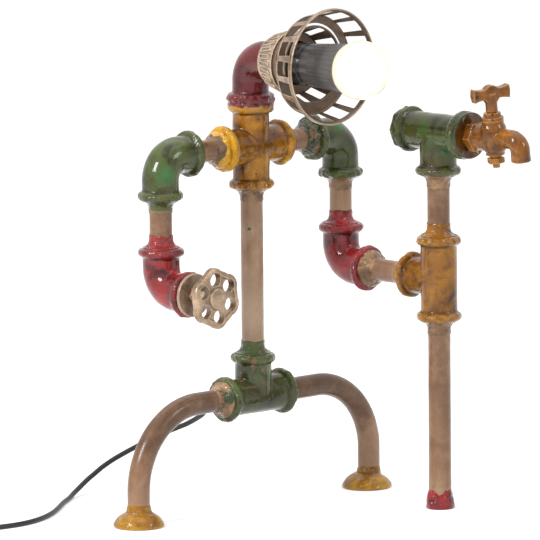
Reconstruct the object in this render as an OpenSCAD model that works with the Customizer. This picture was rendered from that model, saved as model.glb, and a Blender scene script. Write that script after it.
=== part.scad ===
// Lamp made of threaded pipe and malleable fittings, shaped like a standing figure.
// Two bent legs and a staff stand on the floor. The head carries a bulb in a basket shade,
// the left hand holds a wheel that turns the dimmer, and a tap closes the top of the staff.

/* [Stance] */
// Height of the base tee's run axis above the floor
base_tee_z = 107.7; // [104:0.1:140]
// Height of the body cross's centre above the floor
cross_z = 346.3; // [330:0.1:400]
// Height of both wrist elbows' mouths and of the staff tee's branch
wrist_z = 220.4; // [205:0.1:235]
// Height of the tap's axis above the floor
tap_z = 359.7; // [330:0.1:420]
// Distance from the riser axis to each foot's axis
foot_x = 149; // [144:0.5:180]
// Distance from the riser axis to each arm's hanging pipe
shoulder_x = 117; // [105:0.5:150]
// Distance from the riser's plane forward to the staff
staff_y = 133; // [115:0.5:170]

/* [Legs] */
// Centreline radius of the left leg's bend
left_bend_r = 76; // [50:0.5:78]
// Centreline radius of the right leg's bend
right_bend_r = 68.5; // [50:0.5:78]
// Distance by which the right leg stands outside the middle of its foot
right_shift = 3; // [0:0.5:4]

/* [Pipe] */
// Outer radius of every pipe
pipe_r = 10.65; // [9:0.05:11]
// Wall thickness of every pipe
pipe_wall = 2.65; // [1.5:0.05:3.5]
// Radial gap between a pipe and the bush or foot that it stands in
pipe_gap = 0.06; // [0.03:0.01:0.2]

/* [Fittings] */
// Distance from a fitting's centre to each of its mouths
fitting_reach = 40.5; // [38:0.5:48]
// Distance from the head elbow's centre to each of its mouths
head_reach = 42; // [38:0.5:48]
// Outer radius of a fitting's body
fitting_r = 17.5; // [16:0.1:20]
// Section radius of the rounded bead round a mouth
bead_r = 4.25; // [3:0.05:4.8]
// Section radius of the bead round the tap's mouth
tap_bead_r = 5.6; // [4:0.1:6]
// Radius of the socket in a mouth
socket_r = 13.3; // [12.6:0.05:14.5]
// Depth of the socket in a mouth
socket_depth = 14; // [12:0.5:16]
// Centreline radius of an elbow's bend
elbow_bend_r = 22; // [21:0.5:22]
// Radius of the passage round an elbow's bend
throat_r = 12.2; // [10:0.1:12.5]
// Distance between the body cross and the head elbow
neck_gap = 1; // [0.5:0.1:3]
// Wall thickness of the close nipple between the body cross and the head elbow
close_nipple_wall = 4; // [2:0.1:5]

/* [Bushes] */
// Radial gap between a bush and its socket
bush_gap = 0.08; // [0.03:0.01:0.2]
// Depth to which a bush, plug or nipple is screwed in
seat_depth = 13.5; // [10:0.5:13.5]
// Height of a bush's flare outside the mouth
flare_h = 7.8; // [5:0.1:10]
// Thickness of a flare's rim at the mouth
flare_rim = 0.8; // [0.5:0.1:1.5]
// Wall thickness of a flare where it meets the pipe
flare_lip = 0.6; // [0.4:0.1:1.2]

/* [Feet] */
// Height of a leg's foot
foot_h = 19; // [15:0.5:25]
// Radius of a leg's foot on the floor
foot_r = 24.3; // [18:0.1:32]
// Height of a foot's upright edge
foot_edge = 2; // [1:0.1:4]
// Wall thickness of a foot's neck
foot_neck_wall = 1.2; // [0.8:0.1:3]
// Height of a foot's neck
foot_neck_h = 4.5; // [2:0.1:6]
// Thickness of a foot's floor under the pipe
foot_floor = 3; // [2.5:0.1:5]
// Bulge of a foot's side
foot_bulge = 1.5; // [0.5:0.1:2.5]
// Height of the staff's ferrule
ferrule_h = 16.7; // [12:0.1:25]
// Radius of the staff's ferrule on the floor
ferrule_r = 13.9; // [12.5:0.1:18]
// Wall thickness at the top of the staff's ferrule
ferrule_wall = 0.8; // [0.6:0.1:2]
// Thickness of the ferrule's floor under the staff
ferrule_floor = 2; // [1:0.1:4]

/* [Handwheel] */
// Distance from the wrist elbow's centre to the wheel's front face
wheel_front = 78; // [74:0.5:95]
// Thickness of the wheel
wheel_t = 8.3; // [6:0.1:11]
// Radius of the wheel between its lobes
wheel_r = 26.2; // [24.5:0.1:28]
// Pitch radius of the wheel's holes and lobes
wheel_pitch_r = 17.7; // [17:0.1:19]
// Radius of the wheel's holes
wheel_hole_r = 6.8; // [5:0.1:7]
// Radius of the wheel's lobes
wheel_lobe_r = 11.3; // [10:0.1:12]
// Turn of the first hole from the level, seen from the front
wheel_turn = 37; // [0:1:59]
// Depth by which the spokes lie under the rim's face
spoke_drop = 1.4; // [0.5:0.1:2.5]
// Radius of the wheel's hub and of its cap
hub_r = 10; // [7:0.1:10.4]
// Thickness of the cap on the hub
wheel_cap_t = 1.2; // [0.8:0.1:3]
// Number of holes and lobes
wheel_holes = 6; // [5:1:6]

/* [Dimmer] */
// Radius of the plate that closes the wrist elbow's mouth
plate_r = 20.6; // [19:0.1:26]
// Thickness of the plate
plate_t = 4; // [2:0.1:5]
// Thickness of the seat under the plate
plate_seat_t = 1.5; // [1:0.1:3]
// Wall thickness of the plate's spigot in the elbow
spigot_wall = 4; // [3:0.1:4.5]
// Length of the plate's spigot
spigot_h = 10; // [6:0.5:12]
// Radius of the dimmer's can
dimmer_r = 8.5; // [7:0.1:8.9]
// Length of the dimmer's can
dimmer_h = 11; // [8:0.1:14]
// Thickness of the dimmer's back
dimmer_wall = 2; // [1:0.1:3]
// Radius of the dimmer's threaded neck
dimmer_neck_r = 4.9; // [4:0.1:6]
// Width of the dimmer's nut across its flats
dimmer_nut_w = 14; // [12:0.1:16]
// Height of the dimmer's nut
dimmer_nut_h = 2.5; // [2:0.1:4]
// Length of the dimmer's neck beyond its nut
neck_over = 1; // [0.5:0.1:3]
// Radius of the dimmer's shaft
shaft_r = 3; // [2.5:0.05:3.5]
// Radius of the spindle between the dimmer and the wheel
spindle_r = 5; // [4:0.1:7]
// Radius of the spindle's end in the wheel
spindle_end_r = 3.5; // [2.5:0.1:4.5]

/* [Tap] */
// Lean of the tap to the left of upright
tap_lean = 6.5; // [0:0.5:15]
// Distance from the staff to the tap's barrel
tap_barrel_y = 74.6; // [70:0.1:76]
// Distance from the staff to the spout's mouth
spout_y = 108; // [106:0.1:125]
// Width of the tap's hexagon across its flats
tap_hex_w = 26; // [23:0.1:30]
// Thickness of the tap's hexagon
tap_hex_t = 9; // [6:0.1:11]
// Distance from the staff to the back of the tap's hexagon
tap_hex_y = 46.5; // [45:0.1:50]
// Radius of the tap's threaded tail
tap_tail_r = 10.4; // [9:0.1:11]
// Radius of the tap's body between hexagon and barrel
tap_body_r = 12.3; // [10:0.1:12.5]
// Radius of the barrel at its middle
barrel_r = 12.8; // [12.6:0.1:14]
// Radius of the barrel at its lower end
barrel_low_r = 9.2; // [8:0.1:10]
// Radius of the barrel at its upper end
barrel_top_r = 10.4; // [9:0.1:11]
// Bulge of the barrel's side
barrel_bulge = 1; // [0.5:0.1:1.5]
// Height of the necks at the barrel's two ends
barrel_neck = 3; // [2:0.1:4]
// Depth of the barrel's waist below the tap's axis
barrel_waist = 12.4; // [12:0.1:14]
// Height of the barrel above the tap's axis
barrel_up = 18; // [16:0.1:22]
// Depth of the barrel below the tap's axis
barrel_down = 15.4; // [15:0.1:20]
// Radius of the spout
spout_r = 9.2; // [8:0.1:9.5]
// Radius of the spout's bore
spout_bore_r = 6.5; // [4:0.1:6.8]
// Height of the spout above the tap's axis
spout_up = 1; // [0:0.1:3]
// Centreline radius of the spout's bend
spout_bend_r = 10.2; // [9.8:0.1:16]
// Length of the spout below its bend
spout_tip = 10; // [6:0.1:12]
// Radius of the way that the water takes through the body
waterway_r = 4.5; // [3:0.1:5]
// Radius of the tap's key in the barrel
key_r = 7.5; // [6.5:0.1:8]
// Depth of the key's shoulder below the tap's axis
key_shoulder = 9; // [8:0.1:10]
// Radius of the key's stem
stem_r = 4.5; // [3.8:0.1:5]
// Radius of the key's end in the handle
key_end_r = 3.5; // [3:0.1:3.7]
// Radius of the key's threaded lower end
key_tail_r = 3.6; // [3:0.1:4.2]
// Length of the key's threaded end below the barrel
key_tail = 12.2; // [11:0.1:16]
// Height of the collar round the stem
tap_collar_h = 7.5; // [6:0.1:10]
// Height of the collar's lower step
tap_collar_step = 3.2; // [2:0.1:4]
// Radius of the collar's upper step
tap_collar_r = 8.2; // [7:0.1:9]
// Radius of the washer under the barrel
tap_washer_r = 5.8; // [5:0.1:8]
// Thickness of the washer under the barrel
tap_washer_t = 2.3; // [1:0.1:3]
// Width of the tap's lower nut across its flats
tap_nut_w = 14.6; // [13:0.1:17]
// Height of the tap's lower nut
tap_nut_h = 5; // [4:0.1:7]
// Length of the tap's handle from end to end
handle_l = 38.5; // [34:0.5:60]
// Thickness of the handle
handle_t = 7.5; // [7.4:0.1:10]
// Height of the handle's ends
handle_end_h = 13; // [11:0.1:18]
// Height of the handle's arms at their narrowest
handle_arm_h = 9.5; // [7:0.1:10]
// Height of the handle's middle above the collar
handle_up = 17.4; // [16:0.1:24]
// Turn of the handle on the key, against the clock seen from above
handle_turn = -17; // [-45:1:45]
// Height of the handle's root under its arms
handle_root = 3; // [1:0.1:4]
// Bulge of the curves in the handle's outline
handle_curve = 1; // [0.5:0.1:1.5]
// Radius of the handle's neck
handle_neck_r = 5.5; // [5:0.1:7]
// Radius of the dome at the handle's middle
handle_dome_r = 8; // [6.5:0.1:10]

/* [Staff top] */
// Radius of the octagonal plug at the back, over its corners
plug_r = 20.5; // [18:0.1:23]
// Thickness of the octagonal plug's head
plug_t = 3.6; // [2:0.1:12]
// Thickness of the tap adapter's rim
adapter_t = 4; // [3.5:0.1:5]
// Outer radius of the dish round the tap's tail
adapter_r = 21.8; // [20:0.1:22.5]
// Depth of the dish in the tap adapter
adapter_dish = 3; // [1:0.1:3.4]
// Width of the tap adapter's outer rim
adapter_rim = 1.2; // [0.8:0.1:3]

/* [Shade] */
// Distance from the riser axis to the shade collar's back edge
collar_back = 34; // [33:0.1:36]
// Distance from the riser axis to the shade collar's front edge
collar_front = 60; // [56:0.1:64]
// Outer radius of the collar at its back edge
collar_back_r = 23.4; // [23.2:0.1:25]
// Outer radius of the collar at its front edge
collar_front_r = 30.5; // [29:0.1:34]
// Wall thickness of the collar at its back edge
collar_wall = 1.4; // [1:0.1:1.5]
// Thickness of the web that clamps the collar
collar_web_t = 2; // [1.5:0.1:3]
// Number of raised pads round the collar
collar_pads = 24; // [16:1:30]
// Width of a raised pad
pad_w = 3.9; // [2:0.1:4.5]
// Length of a raised pad
pad_l = 18; // [10:0.5:20]
// Height of a raised pad
pad_h = 0.9; // [0.4:0.1:1.5]
// Depth to which the basket slides into the collar
basket_seat = 5; // [3:0.1:6]
// Outer radius of the basket's spigot in the collar
basket_spigot_r = 28.4; // [27.8:0.1:28.6]
// Radial clearance of the basket's spigot in the collar
spigot_gap = 0.15; // [0.1:0.05:0.3]
// Wall thickness of the basket
basket_wall = 1.2; // [0.8:0.1:1.6]
// Radial gap between the lampholder and the basket's floor
holder_gap = 1; // [0.5:0.1:3]
// Distance from the riser axis to the basket's floor
basket_floor_y = 63.8; // [63:0.1:68]
// Inner radius of the basket at its floor
basket_floor_r = 28.1; // [27:0.1:30]
// Distance from the riser axis to the back of the step between the tiers
tier_y = 84.6; // [80:0.1:87]
// Inner radius of the basket at the step
tier_r = 35.5; // [33:0.1:35.7]
// Inner radius of the slit in the step
slit_r = 37.2; // [37.1:0.1:40]
// Width of the slit in the step
slit_w = 1.9; // [1:0.1:4]
// Length of the slit as an angle, centred at the top
slit_angle = 200; // [60:5:320]
// Outer radius of the basket in front of the step
outer_back_r = 47.2; // [45:0.1:50]
// Distance from the riser axis to the rim's front edge
rim_y = 113; // [108:0.1:125]
// Outer radius of the rim
rim_r = 54.8; // [53:0.1:60]
// Width of the rim at its back
rim_w = 3.4; // [2.5:0.1:5]
// Width of the rim at its front edge
rim_edge = 1.5; // [0.8:0.1:2.5]
// Length of the rim along the shade
rim_t = 4.4; // [3:0.1:6]
// Depth to which the outer ribs are let into the rim
rim_lap = 0.8; // [0.4:0.1:2]
// Number of outer windows
outer_windows = 16; // [10:1:18]
// Width of an outer window
outer_window_w = 13.9; // [6:0.1:14]
// Turn of the outer ribs from the level
outer_turn = 10; // [0:0.5:22]
// Number of inner windows
inner_windows = 11; // [7:1:12]
// Width of an inner window
inner_window_w = 9; // [5:0.1:10]
// Turn of the inner windows from the level
inner_turn = 0.6; // [0:0.1:30]
// Width of the solid edge beside the windows
window_edge = 1; // [0.6:0.1:3]

/* [Lampholder] */
// Outer radius of the lampholder's body
holder_r = 19.5; // [18.5:0.1:20]
// Radius of the lampholder's collar
holder_ring_r = 20.5; // [20:0.1:22]
// Distance from the riser axis to the back of the lampholder's collar
holder_ring_y = 77.5; // [74:0.1:80]
// Thickness of the lampholder's collar
holder_ring_t = 4.5; // [3:0.1:6]
// Distance from the riser axis to the lampholder's front edge
holder_front = 92; // [90:0.1:95]
// Radius of the lampholder's front edge
holder_front_r = 17.4; // [17:0.1:18.5]
// Wall thickness of the lampholder's body
holder_wall = 2.2; // [1.5:0.1:2.6]
// Radius of the lampholder's neck at the back
holder_neck_r = 8; // [7:0.1:12]
// Height of the lampholder's edge at its neck
holder_neck_edge = 2; // [1:0.1:4]
// Length of the lampholder's dome at the back
holder_dome = 13; // [9:0.1:15]
// Bulge of the lampholder's dome
holder_bulge = 2; // [1:0.1:3]
// Distance from the lampholder's back to the seat of its insulator
insulator_seat = 14; // [12:0.1:16]
// Radius of the threaded tube that holds the lampholder
nipple_r = 5; // [4.5:0.1:6]
// Wall thickness of the threaded tube
nipple_wall = 1.8; // [1:0.1:2]
// Length of the threaded tube in the lampholder
nipple_set = 8; // [5:0.5:10]
// Radius of the head bush's flange
head_flange_r = 14; // [13.5:0.1:17]
// Thickness of the head bush's flange
head_flange_t = 2; // [1:0.1:3]
// Thickness of the insulator at the bottom of the lampholder
insulator_t = 5; // [3:0.1:7]
// Inner radius of the lampholder's screw shell
screw_r = 13.4; // [13.2:0.05:14]
// Wall thickness of the lampholder's screw shell
screw_wall = 1.2; // [0.6:0.1:1.6]
// Depth of the screw shell's edge in the lampholder
screw_set = 2; // [1:0.1:4]

/* [Bulb] */
// Radius of the bulb's screw cap
cap_r = 13.1; // [12.5:0.05:13.3]
// Length of the bulb's screw cap
cap_l = 24; // [20:0.5:25]
// Radius of the contact at the end of the cap
contact_r = 4.8; // [3:0.1:6]
// Length of the contact at the end of the cap
contact_l = 2.6; // [1:0.1:3]
// Distance from the riser axis to the globe's centre
globe_y = 149.7; // [145:0.1:160]
// Radius of the globe
globe_r = 27.7; // [25:0.1:29]
// Wall thickness of the globe
globe_wall = 1.2; // [0.8:0.1:2]
// Distance from the riser axis to the joint between heat sink and globe
sink_front = 135; // [130:0.1:140]
// Radius of the heat sink's back end
sink_back_r = 17.5; // [15:0.1:18]
// Radius of the heat sink after its shoulder
sink_shoulder_r = 21.2; // [19:0.1:22]
// Gap between the lampholder and the heat sink
sink_gap = 0.5; // [0.3:0.1:2]
// Length of the heat sink's shoulder
sink_shoulder = 4; // [2:0.1:6]
// Number of grooves round the heat sink
sink_grooves = 20; // [12:1:28]
// Width and depth of a groove in the heat sink
groove = 1; // [0.6:0.1:1.4]
// Distance from a groove's end to the end of the heat sink
groove_edge = 4; // [2:0.1:8]
// Thickness of the light board
board_t = 1.6; // [1:0.1:2.5]
// Gap between the light board and the globe
board_gap = 1; // [0.5:0.1:3]

/* [Cord] */
// Outer radius of the mains cord and of the wiring inside
cord_r = 2.5; // [2.2:0.05:3.3]
// Radius of the gland's head against the base tee
gland_r = 6.5; // [5.5:0.1:8]
// Radius of the gland's threaded end
gland_thread_r = 5; // [4.5:0.1:5.4]
// Length of the gland behind its head
gland_l = 20.5; // [16:0.5:22]
// Thickness of the gland's head
gland_head = 3; // [2:0.1:5]
// Radius of the gland behind its head
gland_body_r = 5.5; // [4.5:0.1:5.5]
// Wall of the gland at its thin end
gland_tip = 0.8; // [0.5:0.1:1.5]
// Sideways distance between the two wires inside
wire_pitch = 5.6; // [5.3:0.1:7]
// Bend radius of the wires at tight corners
wire_bend_r = 8; // [6:0.5:8]
// Mean radius of the coil's turns
coil_r = 28.75; // [26:0.05:30]
// Number of layers in the coil
coil_layers = 3; // [2:1:3]
// Distance of the coil to the left of the riser
coil_x = 280; // [270:1:300]
// Distance of the coil behind the riser
coil_y = 118; // [110:1:130]
// Straight length of the cord behind its gland
lead_straight = 6; // [4:0.5:8]
// Length of the plug's body
plug_l = 36; // [30:0.5:45]
// Width of the plug's body
plug_w = 30; // [26:0.5:35]
// Thickness of the plug's body
plug_h = 13.6; // [12:0.1:16]
// Width of the plug's body where the cord enters
plug_back_w = 12; // [9:0.5:20]
// Thickness of the plug's body where the cord enters
plug_back_h = 8.2; // [7:0.1:9]
// Radius of a plug pin
pin_r = 2; // [1.8:0.05:2.4]
// Free length of a plug pin
pin_l = 19; // [17:0.5:22]
// Distance between the plug pins
pin_pitch = 18.6; // [17:0.1:20]

/* [Fits] */
// Radial gap round each screwed tube, neck and spindle end
thread_gap = 0.08; // [0.04:0.01:0.2]
// Radial gap round a shaft that turns
running_gap = 0.05; // [0.02:0.01:0.1]
// Gap along the shaft between pieces that turn against each other
end_gap = 0.4; // [0.3:0.1:1]

/* [Hidden] */
$fn = 72;

over = 1;
cast_green = "#2f5a34";
cast_ochre = "#b07a1e";
cast_red = "#8e1f22";
pipe_tan = "#8d7862";
bronze = "#8f7353";

// The origin lies under the middle of the box round the lamp, on the floor.
spout_reach = staff_y + spout_y + spout_r;
riser_y = (spout_reach - foot_r) / 2;
head_z = cross_z + fitting_reach + neck_gap + head_reach;
bush_r = socket_r - bush_gap;
pipe_bore_r = pipe_r - pipe_wall;
bush_bore_r = pipe_r + pipe_gap;
base_top = base_tee_z + fitting_reach;
cross_low = cross_z - fitting_reach;
wrist_top = wrist_z + fitting_reach;
wrist_low = wrist_z - fitting_reach;
tap_low = tap_z - fitting_reach;
arm_gap = shoulder_x - 2 * fitting_reach;
hand_gap = staff_y - 2 * fitting_reach;
wheel_back = wheel_front - wheel_t;
plate_back = fitting_reach + plate_seat_t;
plate_front = plate_back + plate_t;
dimmer_front = fitting_reach + plate_seat_t;
neck_front = plate_front + dimmer_nut_h + neck_over;
dimmer_back = fitting_reach - dimmer_h;
collar_web_back = head_reach + head_flange_t;
collar_web_front = collar_web_back + collar_web_t;
holder_back = collar_web_front;
insulator_back = holder_back + insulator_seat;
insulator_front = insulator_back + insulator_t;
contact_back = insulator_front;
cap_back = contact_back + contact_l;
spigot_back = collar_front - basket_seat;
tier_back_r = basket_floor_r + basket_wall;
rim_back = rim_y - rim_t;
rim_inner_r = rim_r - rim_w;
rib_end_r = rim_inner_r + basket_wall + rim_lap / 2;
step_front = tier_y + basket_wall;
sink_back = holder_front + sink_gap;
sink_shoulder_y = sink_back + sink_shoulder;
sink_front_r = sqrt(pow(globe_r, 2) - pow(globe_y - sink_front, 2));

gland_end = fitting_r + gland_l;
handle_tip = handle_l / 2 - handle_curve;

// The cord's route from the gland over the floor to the coil, and from the coil to the plug.
coil_centre = [-coil_x, coil_y, 0];
coil_top = cord_r * (2 * coil_layers - 1 + sqrt(3));
lead_route = [[0, fitting_r, base_tee_z], [0, gland_end + lead_straight, base_tee_z], [1, 55, 105],
    [4, 63, 101], [8, 70, 96.5], [12, 76, 91], [16, 82, 85], [19, 88, 80], [21, 95, 75],
    [23, 107, 69], [22, 119, 63], [19, 128, 59], [14, 137, 54.5], [8, 144, 50], [1, 151, 45.5],
    [-8, 157, 40.5], [-19, 163, 34.5], [-30, 167, 29], [-41, 169, 23.5], [-52, 169, 18],
    [-63, 168, 13], [-75, 165, 8], [-87, 160, 4.5], [-98, 153, cord_r], [-109, 145.5, cord_r],
    [-121, 137, cord_r], [-133, 127.5, cord_r], [-145, 118, cord_r], [-157, 109, cord_r],
    [-169, 101, cord_r], [-181, 94, cord_r], [-194, 88, cord_r], [-207, 83.5, cord_r],
    [-220, 81, cord_r], [-234, 80.5, cord_r], [-247, 82, cord_r], [-259, 84, cord_r],
    [-271, 86, cord_r], [-coil_x, coil_y - coil_r - cord_r, cord_r]];
tail_route = [[-coil_x, coil_y + coil_r, coil_top], [-270, 147, coil_top], [-260, 149, coil_top],
    [-250, 153, 15.5], [-241, 158.5, 12], [-232, 165, 9], [-223.5, 172.5, plug_h / 2],
    [-216, 180, plug_h / 2]];
plug_at = [-216, 180, plug_h / 2];
plug_heading = 45;

module at_riser(z) translate([0, riser_y, z]) children();
module at_arm(side, z) translate([side * shoulder_x, riser_y, z]) children();
module at_staff(z) translate([shoulder_x, riser_y - staff_y, z]) children();
module at_head() at_riser(head_z) children();
module at_left_wrist() at_arm(-1, wrist_z) children();
module at_right_wrist() at_arm(1, wrist_z) children();
module forward() rotate([90, 0, 0]) children();

// Points on a shallow arc from p to q that bulges by sag to the right of the way from p to q.
function bow(p, q, sag, n = 6) =
    [for (i = [0:n]) let (u = i / n, d = q - p) p + u * d + 4 * sag * u * (1 - u) * [d[1], -d[0]] / norm(d)];

// Turns that point +Z along a named direction.
function facing(d) = d == "up" ? [0, 0, 0] : d == "down" ? [180, 0, 0] : d == "left" ? [0, -90, 0]
    : d == "right" ? [0, 90, 0] : d == "front" ? [90, 0, 0] : [-90, 0, 0];

module ring(r_out, r_in, h) difference() {
    cylinder(r = r_out, h = h);
    translate([0, 0, -over]) cylinder(r = r_in, h = h + 2 * over);
}

module bead(reach, r) translate([0, 0, reach - r]) rotate_extrude() translate([fitting_r, 0])
    circle(r = r, $fn = 36);

// A tee or cross with one mouth for each named direction.
module straight_fitting(mouths, front_bead_r = bead_r) difference() {
    for (m = mouths) rotate(facing(m)) {
        cylinder(r = fitting_r, h = fitting_reach);
        bead(fitting_reach, m == "front" ? front_bead_r : bead_r);
    }
    for (m = mouths) rotate(facing(m)) cylinder(r = socket_r, h = fitting_reach + over);
}

module quarter_bend(r_line, r_tube) translate([-r_line, -r_line, 0])
    rotate_extrude(angle = 90) translate([r_line, 0]) circle(r = r_tube, $fn = 48);

// An elbow with its mouths towards -X and -Y.
module elbow(reach) difference() {
    union() {
        quarter_bend(elbow_bend_r, fitting_r);
        for (m = ["left", "front"]) rotate(facing(m)) {
            cylinder_from(elbow_bend_r, reach, fitting_r);
            bead(reach, bead_r);
        }
    }
    quarter_bend(elbow_bend_r, throat_r);
    for (m = ["left", "front"]) rotate(facing(m)) {
        cylinder_from(elbow_bend_r, reach + over, throat_r);
        cylinder_from(reach - socket_depth, reach + over, socket_r);
    }
}

// A reducing bush in the mouth of a fitting, along +Z out of it.
module bush(flared = true) translate([0, 0, fitting_reach]) difference() {
    union() {
        translate([0, 0, -seat_depth]) cylinder(r = bush_r, h = seat_depth);
        if (flared) rotate_extrude() flare_outline();
    }
    translate([0, 0, -seat_depth - over]) cylinder(r = bush_bore_r, h = seat_depth + flare_h + 2 * over);
}

module flare_outline() difference() {
    square([fitting_r, flare_h]);
    translate([bush_bore_r + flare_lip + flare_h - flare_rim, flare_h])
        circle(r = flare_h - flare_rim, $fn = 48);
}

// A pipe that crosses a gap between two mouths and is screwed into both.
module pipe_over(gap) translate([0, 0, -seat_depth]) ring(pipe_r, pipe_bore_r, gap + 2 * seat_depth);

// Base, legs and riser

module base_tee() color(cast_green) at_riser(base_tee_z) difference() {
    straight_fitting(["left", "right", "up"]);
    rotate(facing("back")) cylinder(r = gland_thread_r + thread_gap, h = fitting_r + over);
}

module base_bushes() color(cast_green) at_riser(base_tee_z) {
    rotate(facing("up")) bush();
    rotate(facing("left")) bush();
    rotate(facing("right")) bush(false);
}

// A leg to the right, level out of the tee and bent down to the floor at x.
module leg(x, bend_r) difference() {
    leg_solid(x, bend_r, pipe_r, 0);
    leg_solid(x, bend_r, pipe_bore_r, over);
}

module leg_solid(x, bend_r, r, extra) {
    translate([0, 0, base_tee_z]) rotate(facing("right"))
        cylinder_from(fitting_reach - seat_depth - extra, x - bend_r, r);
    translate([x, 0, base_tee_z]) rotate([90, 0, 0]) quarter_bend(bend_r, r);
    translate([x, 0, 0]) cylinder_from(foot_floor - extra, base_tee_z - bend_r, r);
}

module left_leg() color(pipe_tan) at_riser(0) mirror([1, 0, 0]) leg(foot_x, left_bend_r);
module right_leg() color(pipe_tan) at_riser(0) leg(foot_x + right_shift, right_bend_r);

// A foot whose socket stands to the right of its middle by a shift.
module foot(shift) {
    neck_r = bush_bore_r + foot_neck_wall;
    difference() {
        union() {
            rotate_extrude() polygon(concat([[0, 0], [foot_r, 0]],
                bow([foot_r, foot_edge], [neck_r, foot_h - foot_neck_h], foot_bulge),
                [[0, foot_h - foot_neck_h]]));
            translate([shift, 0, 0]) cylinder_from(foot_floor, foot_h, neck_r);
        }
        translate([shift, 0, 0]) cylinder_from(foot_floor, foot_h + over, bush_bore_r);
    }
}

module left_foot() color(cast_ochre) at_riser(0) translate([-foot_x, 0, 0]) foot(0);
module right_foot() color(cast_ochre) at_riser(0) translate([foot_x, 0, 0]) foot(right_shift);

module riser_pipe() color(pipe_tan) at_riser(base_top) pipe_over(cross_low - base_top);

// Shoulders and head

module body_cross() color(cast_ochre) at_riser(cross_z)
    straight_fitting(["left", "right", "up", "down"]);

module cross_bushes() color(cast_ochre) at_riser(cross_z)
    for (m = ["left", "right", "down"]) rotate(facing(m)) bush();

module close_nipple() color(pipe_tan) at_riser(cross_z + fitting_reach - seat_depth)
    ring(bush_r, bush_r - close_nipple_wall, 2 * seat_depth + neck_gap);

module head_elbow() color(cast_red) at_head() rotate([0, -90, 0]) elbow(head_reach);

// Left arm

module left_arm_nipple() color(pipe_tan) at_riser(cross_z)
    rotate(facing("left")) translate([0, 0, fitting_reach]) pipe_over(arm_gap);

module left_shoulder_elbow() color(cast_green) at_arm(-1, cross_z)
    rotate([90, 0, 180]) elbow(fitting_reach);

module left_arm_bushes() color(cast_green) {
    at_arm(-1, cross_z) {
        rotate(facing("right")) bush();
        rotate(facing("down")) bush();
    }
    at_left_wrist() bush();
}

module left_forearm_nipple() color(pipe_tan) at_arm(-1, wrist_top)
    pipe_over(cross_low - wrist_top);

module left_wrist_elbow() color(cast_red) at_left_wrist() rotate([0, 90, 0]) elbow(fitting_reach);

// Dimmer and handwheel

module wrist_plate() color(bronze) at_left_wrist() forward() difference() {
    union() {
        translate([0, 0, plate_back]) cylinder(r = plate_r, h = plate_t);
        translate([0, 0, fitting_reach]) cylinder(r = fitting_r, h = plate_seat_t);
        translate([0, 0, fitting_reach - spigot_h]) ring(bush_r, bush_r - spigot_wall, spigot_h);
    }
    translate([0, 0, fitting_reach - over])
        cylinder(r = dimmer_neck_r + thread_gap, h = plate_seat_t + plate_t + 2 * over);
}

module dimmer_body() color("dimgray") at_left_wrist() forward() difference() {
    union() {
        cylinder_from(dimmer_back, fitting_reach, dimmer_r);
        cylinder_from(fitting_reach, neck_front, dimmer_neck_r);
    }
    cylinder_from(dimmer_back + dimmer_wall, neck_front + over, shaft_r + running_gap);
}

module cylinder_from(a, b, r) translate([0, 0, a]) cylinder(r = r, h = b - a);

module dimmer_nut() color("silver") at_left_wrist() forward() translate([0, 0, plate_front]) difference() {
    cylinder(d = dimmer_nut_w / cos(30), h = dimmer_nut_h, $fn = 6);
    translate([0, 0, -over]) cylinder(r = dimmer_neck_r + thread_gap, h = dimmer_nut_h + 2 * over);
}

module wheel_spindle() color("silver") at_left_wrist() forward() {
    cylinder_from(dimmer_back + dimmer_wall + end_gap, neck_front + end_gap, shaft_r);
    cylinder_from(neck_front + end_gap, wheel_back, spindle_r);
    cylinder_from(wheel_back, wheel_front, spindle_end_r);
}

module around_wheel() for (i = [0:wheel_holes - 1]) rotate(i * 360 / wheel_holes)
    translate([wheel_pitch_r, 0, 0]) children();

module handwheel() color(bronze) at_left_wrist() forward() translate([0, 0, wheel_back])
    rotate(wheel_turn) difference() {
        union() {
            cylinder(r = wheel_r, h = wheel_t);
            around_wheel() cylinder(r = wheel_lobe_r, h = wheel_t);
        }
        around_wheel() translate([0, 0, -over]) cylinder(r = wheel_hole_r, h = wheel_t + 2 * over);
        translate([0, 0, wheel_t - spoke_drop])
            ring(wheel_pitch_r + wheel_hole_r / 2, hub_r, spoke_drop + over);
        translate([0, 0, -over]) cylinder(r = spindle_end_r + thread_gap, h = wheel_t + 2 * over);
    }

module wheel_cap() color(bronze) at_left_wrist() forward()
    cylinder_from(wheel_front, wheel_front + wheel_cap_t, hub_r);

// Right arm

module right_arm_nipple() color(pipe_tan) at_riser(cross_z)
    rotate(facing("right")) translate([0, 0, fitting_reach]) pipe_over(arm_gap);

module right_shoulder_elbow() color(cast_green) at_arm(1, cross_z)
    rotate([90, 0, 0]) elbow(fitting_reach);

module right_arm_bushes() color(cast_red) {
    at_arm(1, cross_z) {
        rotate(facing("left")) bush();
        rotate(facing("down")) bush();
    }
    at_right_wrist() {
        bush();
        rotate(facing("front")) bush();
    }
}

module right_forearm_nipple() color(pipe_tan) at_arm(1, wrist_top)
    pipe_over(cross_low - wrist_top);

module right_wrist_elbow() color(cast_red) at_right_wrist() rotate([0, 90, 0]) elbow(fitting_reach);

module right_hand_nipple() color(pipe_tan) at_right_wrist() forward() translate([0, 0, fitting_reach])
    pipe_over(hand_gap);

// Staff

module staff_tee() color(cast_ochre) at_staff(wrist_z) straight_fitting(["up", "down", "back"]);

module staff_bushes() color(cast_ochre) at_staff(wrist_z)
    for (m = ["up", "down", "back"]) rotate(facing(m)) bush();

module staff_upper_pipe() color(pipe_tan) at_staff(wrist_top) pipe_over(tap_low - wrist_top);

module staff_lower_pipe() color(pipe_tan) at_staff(ferrule_floor)
    ring(pipe_r, pipe_bore_r, wrist_low + seat_depth - ferrule_floor);

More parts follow.
